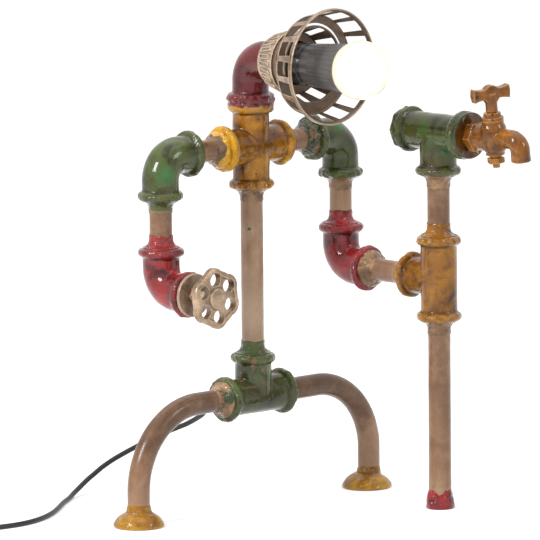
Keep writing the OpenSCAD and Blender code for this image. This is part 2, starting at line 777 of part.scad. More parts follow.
module staff_ferrule() color(cast_red) at_staff(0) difference() {
    cylinder(r1 = ferrule_r, r2 = bush_bore_r + ferrule_wall, h = ferrule_h);
    translate([0, 0, ferrule_floor]) cylinder(r = bush_bore_r, h = ferrule_h);
}

module top_tee() color(cast_green) at_staff(tap_z) straight_fitting(["front", "back", "down"], tap_bead_r);

module top_bush() color(pipe_tan) at_staff(tap_z) rotate(facing("down")) bush();

module tee_plug() color(cast_green) at_staff(tap_z) rotate(facing("back")) {
    cylinder_from(fitting_reach - seat_depth, fitting_reach, bush_r);
    translate([0, 0, fitting_reach]) cylinder(r = plug_r, h = plug_t, $fn = 8);
}

// Tap

module at_tap() at_staff(tap_z) rotate([0, -tap_lean, 0]) children();
module at_barrel() at_tap() translate([0, -tap_barrel_y, 0]) children();

module tap_adapter() color(cast_ochre) at_staff(tap_z) forward() difference() {
    union() {
        cylinder_from(fitting_reach - seat_depth, fitting_reach, bush_r);
        cylinder_from(fitting_reach, fitting_reach + adapter_t, adapter_r);
    }
    cylinder_from(fitting_reach - seat_depth - over, fitting_reach + adapter_t + over, tap_tail_r + pipe_gap);
    translate([0, 0, fitting_reach + adapter_t - adapter_dish])
        cylinder(r1 = tap_tail_r + adapter_rim, r2 = adapter_r - adapter_rim, h = adapter_dish);
    cylinder_from(fitting_reach + adapter_t, fitting_reach + adapter_t + over, adapter_r - adapter_rim);
}

module tap_body() color(cast_ochre) difference() {
    union() {
        at_tap() forward() {
            cylinder_from(fitting_reach - seat_depth, tap_hex_y, tap_tail_r);
            translate([0, 0, tap_hex_y]) cylinder(d = tap_hex_w / cos(30), h = tap_hex_t, $fn = 6);
            cylinder_from(tap_hex_y + tap_hex_t, tap_barrel_y, tap_body_r);
        }
        at_barrel() rotate_extrude() polygon(barrel_outline());
        spout(spout_r, tap_barrel_y, 0);
    }
    at_tap() forward() cylinder_from(fitting_reach - seat_depth - over, tap_barrel_y, waterway_r);
    spout(spout_bore_r, tap_barrel_y + barrel_r, over);
    at_barrel() translate([0, 0, spout_up]) forward() cylinder(r = waterway_r, h = barrel_r + over);
    at_barrel() cylinder_from(-key_shoulder, barrel_up + over, key_r + running_gap);
    at_barrel() cylinder_from(-barrel_down - over, -key_shoulder, key_tail_r + running_gap);
}

function barrel_outline() = concat([[0, -barrel_down], [barrel_low_r, -barrel_down],
    [barrel_low_r, -barrel_waist]], bow([barrel_r - barrel_bulge, barrel_neck - barrel_waist],
    [barrel_r - barrel_bulge, barrel_up - 2 * barrel_neck], barrel_bulge),
    [[barrel_top_r, barrel_up - barrel_neck], [barrel_top_r, barrel_up], [0, barrel_up]]);

// The spout's tube: level from a distance forward of the staff, round its bend and down to its mouth.
module spout(r, start, extra) at_tap() translate([0, 0, spout_up]) {
    forward() cylinder_from(start, spout_y - spout_bend_r, r);
    translate([0, -spout_y, 0]) {
        rotate([0, -90, 180]) quarter_bend(spout_bend_r, r);
        translate([0, 0, -spout_bend_r - spout_tip - extra]) cylinder(r = r, h = spout_tip + extra);
    }
}

module tap_key() color("goldenrod") at_barrel() difference() {
    union() {
        cylinder_from(-barrel_down - key_tail, end_gap - key_shoulder, key_tail_r);
        cylinder_from(end_gap - key_shoulder, barrel_up - end_gap, key_r);
        cylinder_from(barrel_up - end_gap, barrel_up + tap_collar_h, stem_r);
        cylinder_from(barrel_up + tap_collar_h, barrel_up + tap_collar_h + handle_up, key_end_r);
    }
    translate([-key_r - over, 0, 0]) rotate([0, 90, 0]) cylinder(r = waterway_r, h = 2 * (key_r + over));
}

module tap_collar() color(cast_ochre) at_barrel() translate([0, 0, barrel_up]) difference() {
    union() {
        cylinder(r = barrel_top_r, h = tap_collar_step);
        cylinder(r = tap_collar_r, h = tap_collar_h);
    }
    translate([0, 0, -over]) cylinder(r = stem_r + running_gap, h = tap_collar_h + 2 * over);
}

module tap_washer() color("goldenrod") at_barrel() translate([0, 0, -barrel_down - end_gap - tap_washer_t])
    ring(tap_washer_r, key_tail_r + thread_gap, tap_washer_t);

module tap_nut() color(cast_ochre) at_barrel()
    translate([0, 0, -barrel_down - end_gap - tap_washer_t - tap_nut_h]) difference() {
        cylinder(d = tap_nut_w / cos(30), h = tap_nut_h, $fn = 6);
        translate([0, 0, -over]) cylinder(r = key_tail_r + thread_gap, h = tap_nut_h + 2 * over);
    }

// The right half of the handle's outline, from its root round to its top.
function handle_half() = concat([[0, -handle_arm_h / 2 - handle_root]],
    bow([handle_neck_r, -handle_arm_h / 2 - handle_root], [handle_l / 4, -handle_arm_h / 2], -handle_curve),
    bow([handle_l / 4, -handle_arm_h / 2], [handle_tip, -handle_end_h / 2], -handle_curve / 2),
    bow([handle_tip, -handle_end_h / 2], [handle_tip, handle_end_h / 2], handle_curve),
    bow([handle_tip, handle_end_h / 2], [handle_l / 4, handle_arm_h / 2], -handle_curve / 2),
    [[0, handle_arm_h / 2]]);

module tap_handle() color(cast_ochre) at_barrel() rotate(handle_turn)
    translate([0, 0, barrel_up + tap_collar_h + end_gap]) difference() {
    union() {
        cylinder(r = handle_neck_r, h = handle_up);
        translate([0, handle_t / 2, handle_up]) rotate([90, 0, 0]) linear_extrude(handle_t) {
            polygon(handle_half());
            mirror([1, 0, 0]) polygon(handle_half());
        }
        translate([0, handle_t / 2, handle_up]) rotate([90, 0, 0]) cylinder(r = handle_dome_r, h = handle_t);
    }
    translate([0, 0, -over]) cylinder(r = key_end_r + thread_gap, h = handle_up + over);
}

// Lamp head

module head_bush() color("silver") at_head() forward() difference() {
    union() {
        cylinder_from(head_reach - seat_depth, head_reach, bush_r);
        cylinder_from(head_reach, collar_web_back, head_flange_r);
    }
    cylinder_from(head_reach - seat_depth - over, collar_web_back + over, nipple_r + thread_gap);
}

module holder_nipple() color("goldenrod") at_head() forward()
    translate([0, 0, head_reach - seat_depth])
        ring(nipple_r, nipple_r - nipple_wall, holder_back + nipple_set - head_reach + seat_depth);

module cone_from(a, r_a, b, r_b) translate([0, 0, a]) cylinder(r1 = r_a, r2 = r_b, h = b - a);

module cone_wall(a, r_a, b, r_b, wall) difference() {
    cone_from(a, r_a, b, r_b);
    cone_core(a, r_a - wall, b, r_b - wall);
}

// The inside of a conical wall, carried on past both of its ends.
module cone_core(a, r_a, b, r_b) {
    slope = (r_b - r_a) / (b - a);
    translate([0, 0, a - over])
        cylinder(r1 = r_a - slope * over, r2 = r_b + slope * over, h = b - a + 2 * over);
}

module shade_collar() color(bronze) at_head() forward() {
    slope = atan((collar_front_r - collar_back_r) / (collar_front - collar_back));
    difference() {
        cone_from(collar_back, collar_back_r, collar_front, collar_front_r);
        cone_core(collar_back, collar_back_r - collar_wall, collar_front, collar_front_r - collar_wall);
        cylinder_from(spigot_back, collar_front + over, basket_spigot_r + spigot_gap);
    }
    translate([0, 0, collar_web_back])
        ring(collar_r(collar_web_back) - collar_wall / 2, nipple_r + thread_gap, collar_web_t);
    for (i = [0:collar_pads - 1]) rotate(i * 360 / collar_pads)
        translate([collar_r((collar_back + collar_front) / 2), 0, (collar_back + collar_front) / 2])
            rotate([0, slope, 0]) translate([-collar_wall / 2, -pad_w / 2, -pad_l / 2])
                cube([collar_wall / 2 + pad_h, pad_w, pad_l]);
}

function collar_r(y) = collar_back_r
    + (collar_front_r - collar_back_r) * (y - collar_back) / (collar_front - collar_back);

// The basket: a spigot and floor, the inner tier with its windows, a flat step with a slit,
// and the outer tier with its ribs and rim.
module shade_basket() color(bronze) at_head() forward() {
    difference() {
        union() {
            translate([0, 0, spigot_back])
                ring(basket_spigot_r, basket_spigot_r - basket_wall, basket_floor_y - spigot_back);
            translate([0, 0, basket_floor_y - basket_wall])
                ring(tier_back_r, holder_r + holder_gap, basket_wall);
            cone_wall(basket_floor_y, tier_back_r, tier_y, tier_r + basket_wall, basket_wall);
            translate([0, 0, tier_y]) ring(outer_back_r, tier_r, basket_wall);
        }
        for (i = [0:inner_windows - 1]) rotate(inner_turn + i * 360 / inner_windows)
            translate([0, -inner_window_w / 2, basket_floor_y + window_edge])
                cube([tier_r + 2 * basket_wall, inner_window_w, tier_y - basket_floor_y - 2 * window_edge]);
        translate([0, 0, tier_y - over]) rotate(90 - slit_angle / 2) rotate_extrude(angle = slit_angle)
            translate([slit_r, 0]) square([slit_w, basket_wall + 2 * over]);
    }
    difference() {
        cone_wall(tier_y, outer_back_r, rim_back + rim_lap, rib_end_r, basket_wall);
        for (i = [0:outer_windows - 1]) rotate(outer_turn + (i + 0.5) * 360 / outer_windows)
            translate([0, -outer_window_w / 2, step_front + window_edge])
                cube([rim_r, outer_window_w, rim_back + rim_lap / 2 - step_front - window_edge]);
    }
    rotate_extrude()
        polygon([[rim_inner_r, rim_back], [rim_r, rim_back], [rim_r, rim_y], [rim_r - rim_edge, rim_y]]);
}

module lampholder() color("#101010") at_head() forward() difference() {
    rotate_extrude() polygon(concat([[0, holder_back], [holder_neck_r, holder_back]],
        bow([holder_neck_r, holder_back + holder_neck_edge], [holder_r, holder_back + holder_dome],
            holder_bulge),
        [[holder_r, holder_ring_y], [holder_ring_r, holder_ring_y],
        [holder_ring_r, holder_ring_y + holder_ring_t], [holder_r, holder_ring_y + holder_ring_t],
        [holder_front_r, holder_front], [0, holder_front]]));
    cylinder_from(holder_back - over, insulator_back + over, nipple_r + thread_gap);
    cylinder_from(insulator_back, holder_front + over, holder_front_r - holder_wall);
}

module lampholder_insert() color("white") at_head() forward() difference() {
    union() {
        cylinder_from(insulator_back, insulator_front, holder_front_r - holder_wall - thread_gap);
        cylinder_from(insulator_front, holder_front - screw_set, screw_r + screw_wall);
    }
    cylinder_from(insulator_front, holder_front, screw_r);
}

module bulb_cap() color("silver") at_head() forward() {
    cylinder_from(contact_back, cap_back, contact_r);
    cylinder_from(cap_back, cap_back + cap_l, cap_r);
}

module bulb_heatsink() color("#3a3c40") at_head() forward() {
    slope = atan((sink_front_r - sink_shoulder_r) / (sink_front - sink_shoulder_y));
    difference() {
        union() {
            cylinder_from(cap_back + cap_l, sink_back, cap_r);
            cone_from(sink_back, sink_back_r, sink_shoulder_y, sink_shoulder_r);
            cone_from(sink_shoulder_y, sink_shoulder_r, sink_front, sink_front_r);
        }
        for (i = [0:sink_grooves - 1]) rotate(i * 360 / sink_grooves)
            translate([sink_shoulder_r, -groove / 2, sink_shoulder_y]) rotate([0, slope, 0])
                translate([-groove, 0, groove_edge])
                    cube([2 * groove, groove, sink_front - sink_shoulder_y - 2 * groove_edge]);
    }
}

module led_board() color("white") at_head() forward()
    cylinder_from(sink_front, sink_front + board_t, sink_front_r - globe_wall - board_gap);

module bulb_globe() color("#fffdf2") at_head() forward() difference() {
    translate([0, 0, globe_y]) sphere(r = globe_r);
    translate([0, 0, globe_y]) sphere(r = globe_r - globe_wall);
    cylinder_from(sink_front - globe_r, sink_front, globe_r);
}

// Wiring and cord

module wire_bend(r_line) quarter_bend(r_line, cord_r);

module wire(a, b) {
    d = b - a;
    translate(a) rotate([0, acos(d[2] / norm(d)), atan2(d[1], d[0])]) cylinder(r = cord_r, h = norm(d));
}

// One wire brings the supply up the riser to the dimmer, the other goes from there to the head.
module wiring() color("#202020") at_riser(0) {
    side = wire_pitch / 2;
    b = wire_bend_r;
    e = elbow_bend_r;
    translate([0, -side, base_tee_z]) rotate([0, 90, 180]) wire_bend(b);
    wire([0, fitting_r, base_tee_z], [0, b - side, base_tee_z]);
    wire([0, -side, base_tee_z + b], [0, -side, cross_z - b]);
    translate([0, -side, cross_z]) rotate([90, 0, 0]) wire_bend(b);
    for (y = [-side, side]) {
        wire([-b, y, cross_z], [e - shoulder_x, y, cross_z]);
        translate([-shoulder_x, y, cross_z]) rotate([90, 0, 180]) wire_bend(e);
        wire([-shoulder_x, y, cross_z - e], [-shoulder_x, y, wrist_z + e]);
        translate([-shoulder_x, y, wrist_z - y]) rotate([0, 90, 0]) wire_bend(e + y);
        wire([-shoulder_x, -e, wrist_z - y], [-shoulder_x, -dimmer_back, wrist_z - y]);
    }
    translate([0, side, cross_z]) rotate([-90, 0, 0]) wire_bend(b);
    wire([0, side, cross_z + b], [0, side, head_z - e - side]);
    translate([0, side, head_z]) rotate([0, -90, 0]) wire_bend(e + side);
    wire([0, -e, head_z], [0, -insulator_back, head_z]);
}

module cord_gland() color("#181818") at_riser(base_tee_z) rotate(facing("back")) difference() {
    union() {
        cylinder_from(socket_r, fitting_r, gland_thread_r);
        cylinder_from(fitting_r, fitting_r + gland_head, gland_r);
        cone_from(fitting_r + gland_head, gland_body_r, gland_end, cord_r + gland_tip);
    }
    cylinder_from(0, gland_end + over, cord_r + thread_gap);
}

function unit(v) = v / norm(v);

// Direction of a route at its point i.
function way(p, i) = unit(p[min(i + 1, len(p) - 1)] - p[max(i - 1, 0)]);

// A round tube of r along the points p, with a ring of n corners at each point.
module tube(p, r, n) {
    corners = [for (i = [0:len(p) - 1]) let (t = way(p, i), s = unit(cross(t, [0, 0, 1])), u = cross(s, t))
        for (k = [0:n - 1]) p[i] + r * (cos(k * 360 / n) * s + sin(k * 360 / n) * u)];
    sides = [for (i = [0:len(p) - 2]) for (k = [0:n - 1])
        [i * n + k, i * n + (k + 1) % n, (i + 1) * n + (k + 1) % n, (i + 1) * n + k]];
    polyhedron(corners, concat([[for (k = [n - 1:-1:0]) k]], sides,
        [[for (k = [0:n - 1]) (len(p) - 1) * n + k]]));
}

module cord_lead() color("#202020") at_riser(0) {
    tube(lead_route, cord_r, 8);
    tube(tail_route, cord_r, 8);
}

module cord_coil() color("#202020") at_riser(0) translate(coil_centre) {
    ring(coil_r + 2 * cord_r, coil_r - 2 * cord_r, coil_layers * 2 * cord_r);
    ring(coil_r + cord_r, coil_r - cord_r, coil_top + cord_r);
}

module at_plug() at_riser(0) translate(plug_at) rotate(plug_heading) rotate([0, 90, 0]) children();

module plug_body() color("#181818") at_plug() hull() for (s = [-1, 1]) {
    translate([0, s * (plug_back_w - plug_back_h) / 2, 0]) cylinder(d = plug_back_h, h = over, $fn = 32);
    translate([0, s * (plug_w - plug_h) / 2, plug_l / 2]) cylinder(d = plug_h, h = plug_l / 2, $fn = 32);
}

module plug_pins() color("silver") at_plug() for (s = [-1, 1])
    translate([0, s * pin_pitch / 2, plug_l]) cylinder(r = pin_r, h = pin_l);

base_tee();
base_bushes();
left_leg();
right_leg();
left_foot();
right_foot();
riser_pipe();
body_cross();
cross_bushes();
close_nipple();
head_elbow();
left_arm_nipple();
left_shoulder_elbow();
left_arm_bushes();
left_forearm_nipple();
left_wrist_elbow();
wrist_plate();
dimmer_body();
dimmer_nut();
wheel_spindle();
handwheel();
wheel_cap();
right_arm_nipple();
right_shoulder_elbow();
right_arm_bushes();
right_forearm_nipple();
right_wrist_elbow();
right_hand_nipple();
staff_tee();
staff_bushes();
staff_upper_pipe();
staff_lower_pipe();
staff_ferrule();
top_tee();
top_bush();
tee_plug();
tap_adapter();
tap_body();
tap_key();
tap_handle();
tap_collar();
tap_washer();
tap_nut();
head_bush();
holder_nipple();
shade_collar();
shade_basket();
lampholder();
lampholder_insert();
bulb_cap();
bulb_heatsink();
led_board();
bulb_globe();
wiring();
cord_gland();
cord_lead();
cord_coil();
plug_body();
plug_pins();
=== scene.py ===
"""Looks of a lamp built of threaded pipe and cast fittings under thick varnish."""
import math

import bmesh
import bpy
import numpy as np
from mathutils import Matrix, Vector


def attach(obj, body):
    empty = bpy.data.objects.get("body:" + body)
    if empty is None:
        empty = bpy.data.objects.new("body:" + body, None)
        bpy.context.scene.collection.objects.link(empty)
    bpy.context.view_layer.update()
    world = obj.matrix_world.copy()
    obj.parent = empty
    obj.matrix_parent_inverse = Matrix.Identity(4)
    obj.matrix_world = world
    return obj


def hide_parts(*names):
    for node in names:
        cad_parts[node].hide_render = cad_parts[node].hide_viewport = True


bl_info = {
    "name": "Pipe Lamp Looks",
    "version": (1, 0, 0),
    "blender": (4, 5, 0),
    "location": "View3D > Sidebar > Pipe Lamp",
    "description": "Varnished castings, pipes, handwheel, tap, basket shade and cord of a pipe lamp",
    "category": "Object",
}

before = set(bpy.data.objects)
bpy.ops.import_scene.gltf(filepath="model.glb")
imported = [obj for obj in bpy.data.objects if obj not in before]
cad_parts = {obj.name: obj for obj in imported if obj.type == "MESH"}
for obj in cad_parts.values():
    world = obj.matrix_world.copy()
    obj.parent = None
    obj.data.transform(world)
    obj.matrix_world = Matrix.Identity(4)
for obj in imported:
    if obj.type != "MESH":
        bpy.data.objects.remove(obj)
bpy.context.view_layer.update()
MM = 0.001
COARSER = 1.0

# Places and sizes in the frame's axes, in millimetres: they follow the source of the solids.
RISER_Y = 112.95
STAFF_Y = RISER_Y - 133.0
SHOULDER_X = 117.0
FOOT_X = 149.0
BASE_Z, CROSS_Z, WRIST_Z, TAP_Z = 107.7, 346.3, 220.4, 359.7
HEAD_Z = 429.8
REACH, HEAD_REACH = 40.5, 42.0
BODY_R, BEAD_R, TAP_BEAD_R = 17.5, 4.25, 5.6
BEND_R = 22.0
PIPE_R = 10.65
PIPE_END = 38.0  # how far from a fitting's middle a pipe ends
LEG_END, STAFF_END = 4.0, 3.0  # how far above the floor they end
LEFT, RIGHT, UP, DOWN = (-1, 0, 0), (1, 0, 0), (0, 0, 1), (0, 0, -1)
FRONT, BACK = (0, -1, 0), (0, 1, 0)
BASE = (0.0, RISER_Y, BASE_Z)
CROSS = (0.0, RISER_Y, CROSS_Z)
HEAD = (0.0, RISER_Y, HEAD_Z)
LEFT_SHOULDER, RIGHT_SHOULDER = (-SHOULDER_X, RISER_Y, CROSS_Z), (SHOULDER_X, RISER_Y, CROSS_Z)
LEFT_WRIST, RIGHT_WRIST = (-SHOULDER_X, RISER_Y, WRIST_Z), (SHOULDER_X, RISER_Y, WRIST_Z)
STAFF_TEE, TOP_TEE = (SHOULDER_X, STAFF_Y, WRIST_Z), (SHOULDER_X, STAFF_Y, TAP_Z)
SKIRT = 4.0  # varnish up the pipe beyond a flare
LEG_SHIFT = 3.0  # how far the right leg stands outside the middle of its foot

WHEEL_FRONT, WHEEL_BACK = 78.0, 69.7
HOLE_PITCH_R, HOLE_R, LOBE_R, NECK_R = 17.7, 6.3, 11.3, 26.2
TAP_LEAN = math.radians(6.5)
BARREL_Y = 74.6
WALL = 1.2  # the basket's
GLOBE_Y, GLOBE_R = 149.7, 27.7
SINK_BACK, SINK_FRONT, SINK_BACK_R = 86.0, 135.0, 20.0
CORD_R = 2.5
COIL_X, COIL_Y, OUTER_TURN_R = -280.0, 118.0, 31.25


# ---------------------------------------------------------------- shapes

def vec(v):
    return np.array(v, float)


def axes_of(way):
    w = vec(way) / np.linalg.norm(way)
    u = np.cross((0.0, 0.0, 1.0) if abs(w[2]) < 0.9 else (1.0, 0.0, 0.0), w)
    u /= np.linalg.norm(u)
    return u, np.cross(w, u), w


def solid(rows, closed=False, capped=False):
    """A solid from rows of points, as (vertices, faces). A row of one point is a tip."""
    verts, rings, faces = [], [], []
    for row in rows:
        rings.append(range(len(verts), len(verts) + len(row)))
        verts += list(row)
    for a, b in list(zip(rings, rings[1:])) + ([(rings[-1], rings[0])] if closed else []):
        n = max(len(a), len(b))
        for k in range(n):
            q = (k + 1) % n
            if len(a) == 1:
                faces.append((a[0], b[q], b[k]))
            elif len(b) == 1:
                faces.append((a[k], a[q], b[0]))
            else:
                faces.append((a[k], a[q], b[q], b[k]))
    if capped:
        faces += [tuple(rings[0]), tuple(reversed(rings[-1]))]
    return np.array(verts, float), faces


def lathe(profile, centre, way, segments=72, closed=False):
    """A solid turned round an axis from (radius, height) pairs."""
    u, v, w = axes_of(way)
    turn = np.linspace(0, 2 * math.pi, segments, endpoint=False)
    circle = np.outer(np.cos(turn), u) + np.outer(np.sin(turn), v)
    return solid([[vec(centre) + w * h] if r < 1e-6 else vec(centre) + w * h + r * circle
                  for r, h in profile], closed)


def sweep(stations, segments=48):
    """A round tube through (point, direction, radius) stations, closed at both ends."""
    u = axes_of(stations[0][1])[0]
    turn = np.linspace(0, 2 * math.pi, segments, endpoint=False)
    rows = [[vec(stations[0][0])]]
    for p, d, r in stations:
        d = vec(d) / np.linalg.norm(d)
        u = u - (u @ d) * d
        u /= np.linalg.norm(u)
        rows.append(vec(p) + r * (np.outer(np.cos(turn), u) + np.outer(np.sin(turn), np.cross(d, u))))
    return solid(rows + [[vec(stations[-1][0])]])


def sector(r_in, r_out, a, b, start, end, steps=60):
    """A flat ring's sector in front of the head, from height a to b and from one angle to the other."""
    u, v, w = axes_of(FRONT)
    rows = []
    for t in np.linspace(math.radians(start), math.radians(end), steps):
        out = math.cos(t) * u + math.sin(t) * v
        rows.append([vec(HEAD) + out * r + w * h for r, h in ((r_in, a), (r_out, a), (r_out, b), (r_in, b))])
    return solid(rows, capped=True)


def arc(centre, radius, start, end, steps=8):
    return [(centre[0] + radius * math.cos(t), centre[1] + radius * math.sin(t))
            for t in np.radians(np.linspace(start, end, steps))]


def bent(start, corner, end, radius, r, steps=24):
    """Stations of a tube that goes straight, round one bend and straight again."""
    start, corner, end = vec(start), vec(corner), vec(end)
    d1 = (corner - start) / np.linalg.norm(corner - start)
    d2 = (end - corner) / np.linalg.norm(end - corner)
    centre = corner - d1 * radius + d2 * radius
    out = [(start + (corner - d1 * radius - start) * t, d1, r) for t in np.linspace(0, 1, 6)[:-1]]
    for t in np.linspace(0, math.pi / 2, steps):
        out.append((centre - d2 * radius * math.cos(t) + d1 * radius * math.sin(t),
                    d1 * math.cos(t) + d2 * math.sin(t), r))
    last = corner + d2 * radius
    return out + [(last + (end - last) * t, d2, r) for t in np.linspace(0, 1, 6)[1:]]


def away(centre, way, distance):
    return vec(centre) + vec(way) * distance


# ---------------------------------------------------------------- meshes

def node_solid(node):
    """A copy of a CAD node's mesh with its loose triangles merged."""
    bm = bmesh.new()
    bm.from_mesh(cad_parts[node].data)
    bmesh.ops.remove_doubles(bm, verts=bm.verts, dist=1e-6)
    bm.verts.index_update()
    out = np.array([v.co for v in bm.verts], float) / MM, [tuple(v.index for v in f.verts) for f in bm.faces]
    bm.free()
    return out


def made(name, solids):
    """A new object of these solids, side by side in one mesh, with its faces outwards."""
    verts, faces, base = [], [], 0
    for v, f in solids:
        verts.append(np.asarray(v))
        faces += [tuple(i + base for i in face) for face in f]
        base += len(v)
    mesh = bpy.data.meshes.new(name)
    mesh.from_pydata((np.vstack(verts) * MM).tolist(), [], faces)
    bm = bmesh.new()
    bm.from_mesh(mesh)
    bmesh.ops.recalc_face_normals(bm, faces=bm.faces)
    bm.to_mesh(mesh)
    bm.free()
    ob = bpy.data.objects.new(name, mesh)
    bpy.context.scene.collection.objects.link(ob)
    return ob


def baked(ob):
    """The object with its modifiers worked into a plain mesh."""
    bpy.context.view_layer.update()
    mesh = bpy.data.meshes.new_from_object(ob.evaluated_get(bpy.context.evaluated_depsgraph_get()))
    ob.modifiers.clear()
    old, ob.data = ob.data, mesh
    mesh.name = ob.name
    bpy.data.meshes.remove(old)
    return ob


def edged(ob, width):
    """The object with its edges rounded over this width."""
    m = ob.modifiers.new("edges", "BEVEL")
    m.width, m.segments, m.limit_method = width * MM, 2, "ANGLE"
    return baked(ob)


def dropped(ob):
    mesh = ob.data
    bpy.data.objects.remove(ob)
    bpy.data.meshes.remove(mesh)


def fused(name, solids, voxel, soften=2, cuts=()):
    """One closed skin round all the solids, less the cuts, with softened edges."""
    ob = made(name, solids)
    tools = []

    def remesh():
        m = ob.modifiers.new("skin", "REMESH")
        m.mode, m.voxel_size = "VOXEL", voxel * MM * COARSER

    if cuts:
        remesh()
        for c in cuts:
            tools.append(made("cut", [c]))
            m = ob.modifiers.new("cut", "BOOLEAN")
            m.operation, m.object, m.solver = "DIFFERENCE", tools[-1], "EXACT"
    remesh()
    m = ob.modifiers.new("soften", "SMOOTH")
    m.factor, m.iterations = 0.5, max(1, round(soften / COARSER))
    baked(ob)
    for tool in tools:
        dropped(tool)
    return ob


def hashed(i, j, k, seed):
    n = (i * 73856093) ^ (j * 19349663) ^ (k * 83492791) ^ (seed * 2654435761)
    n = (n ^ (n >> 13)) * 1274126177 & 0x7FFFFFFF
    n = (n ^ (n >> 16)) * 2246822519 & 0x7FFFFFFF
    return n / 0x3FFFFFFF - 1.0


def noise(p, size, seed=0):
    """Smooth noise from -1 to 1 with lumps about this size, in millimetres."""
    q = np.asarray(p) / size + 100.0
    base = np.floor(q).astype(np.int64)
    f = q - base
    f = f * f * f * (f * (f * 6 - 15) + 10)
    out = np.zeros(len(q))
    for dx in (0, 1):
        for dy in (0, 1):
            for dz in (0, 1):
                w = (f[:, 0] if dx else 1 - f[:, 0]) * (f[:, 1] if dy else 1 - f[:, 1]) \
                    * (f[:, 2] if dz else 1 - f[:, 2])
                out += w * hashed(base[:, 0] + dx, base[:, 1] + dy, base[:, 2] + dz, seed)
    return out


def lumps(*layers):
    """A function of points that adds up (height, size, seed) layers of noise."""
    return lambda co: sum(height * noise(co, size, seed) for height, size, seed in layers)


def dents(places, size=1.3, depth=0.7):
    """A function of points: small pits in a casting, as heights."""
    def pits(co):
        out = np.zeros(len(co))
        for place in places:
            out -= depth * np.exp(-(np.linalg.norm(co - vec(place), axis=1) / size) ** 2)
        return out
    return pits


def spot(place, size, share=1.0):
    """A function of points: a soft patch round a place, from 0 to its share."""
    return lambda co: share * np.clip(1.5 - np.linalg.norm(co - vec(place), axis=1) / size, 0, 1)


def level(value, co):
    """A value for every point, from one number or a function of the points."""
    return value(co) if callable(value) else np.full(len(co), float(value))


def points(ob):
    """The object's points, in millimetres."""
    co = np.empty(len(ob.data.vertices) * 3)
    ob.data.vertices.foreach_get("co", co)
    return co.reshape(-1, 3) / MM


def normals(ob):
    n = np.empty(len(ob.data.vertices) * 3)
    ob.data.vertex_normals.foreach_get("vector", n)
    return n.reshape(-1, 3)


def swell(ob, height):
    """Moves every point out along its normal by a height in millimetres."""
    co = points(ob) + normals(ob) * np.asarray(height)[:, None]
    ob.data.vertices.foreach_set("co", (co * MM).ravel())
    ob.data.update()


def attribute(ob, name, values):
    a = ob.data.attributes.get(name) or ob.data.attributes.new(name, "FLOAT", "POINT")
    a.data.foreach_set("value", np.asarray(values, np.float32))


def hollows(ob, gain=3.0, passes=4):
    """Stores how hollow (above 0.5) or how proud (below 0.5) each point lies."""
    mesh = ob.data
    n = len(mesh.vertices)
    e = np.empty(len(mesh.edges) * 2, np.int64)
    mesh.edges.foreach_get("vertices", e)
    e = e.reshape(-1, 2)
    co, nor = points(ob), normals(ob)
    count = np.maximum(np.bincount(e.ravel(), minlength=n), 1)

    def mean(values):
        return (np.bincount(e[:, 0], values[e[:, 1]], n) + np.bincount(e[:, 1], values[e[:, 0]], n)) / count

    middle = np.stack([mean(co[:, k]) for k in range(3)], 1)
    step = np.mean(np.linalg.norm(co[e[:, 0]] - co[e[:, 1]], axis=1))
    bend = np.einsum("ij,ij->i", middle - co, nor) / step
    for _ in range(passes):
        bend = 0.5 * bend + 0.5 * mean(bend)
    attribute(ob, "hollow", np.clip(0.5 + bend * gain, 0, 1))


def coated(ob, coat):
    """The object with this one material and smooth faces."""
    ob.data.materials.clear()
    ob.data.materials.append(paint(coat))
    ob.data.polygons.foreach_set("use_smooth", [True] * len(ob.data.polygons))
    ob.data.update()
    return ob


def placed(ob, body, nodes):
    """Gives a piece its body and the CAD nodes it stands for."""
    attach(ob, body)
    if nodes:
        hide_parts(*nodes)
    return ob


def finished(ob, coat, nodes, body="frame"):
    hollows(ob)
    return placed(coated(ob, coat), body, nodes)


def piece(name, solids, voxel, soften, coat, nodes, height=None, body="frame", slot=None, cuts=(), **stored):
    """A fused piece under a coat, and its points from before it was swollen.

    Its height and its stored values are numbers or functions of those points.
    """
    ob = fused(name, solids, voxel, soften, cuts)
    co = points(ob)
    if height is not None:
        swell(ob, level(height, co))
    for key, value in stored.items():
        attribute(ob, key, level(value, co))
    return finished(ob, coat, nodes, body), co


# ---------------------------------------------------------------- nodes

def node(tree, kind, inputs=None, **settings):
    """A new node. Each input is a value, or a socket that is linked to it."""
    n = tree.nodes.new(kind)
    for key, value in settings.items():
        setattr(n, key, value)
    for key, value in (inputs or {}).items():
        if isinstance(value, bpy.types.NodeSocket):
            tree.links.new(value, n.inputs[key])
        else:
            n.inputs[key].default_value = value
    return n


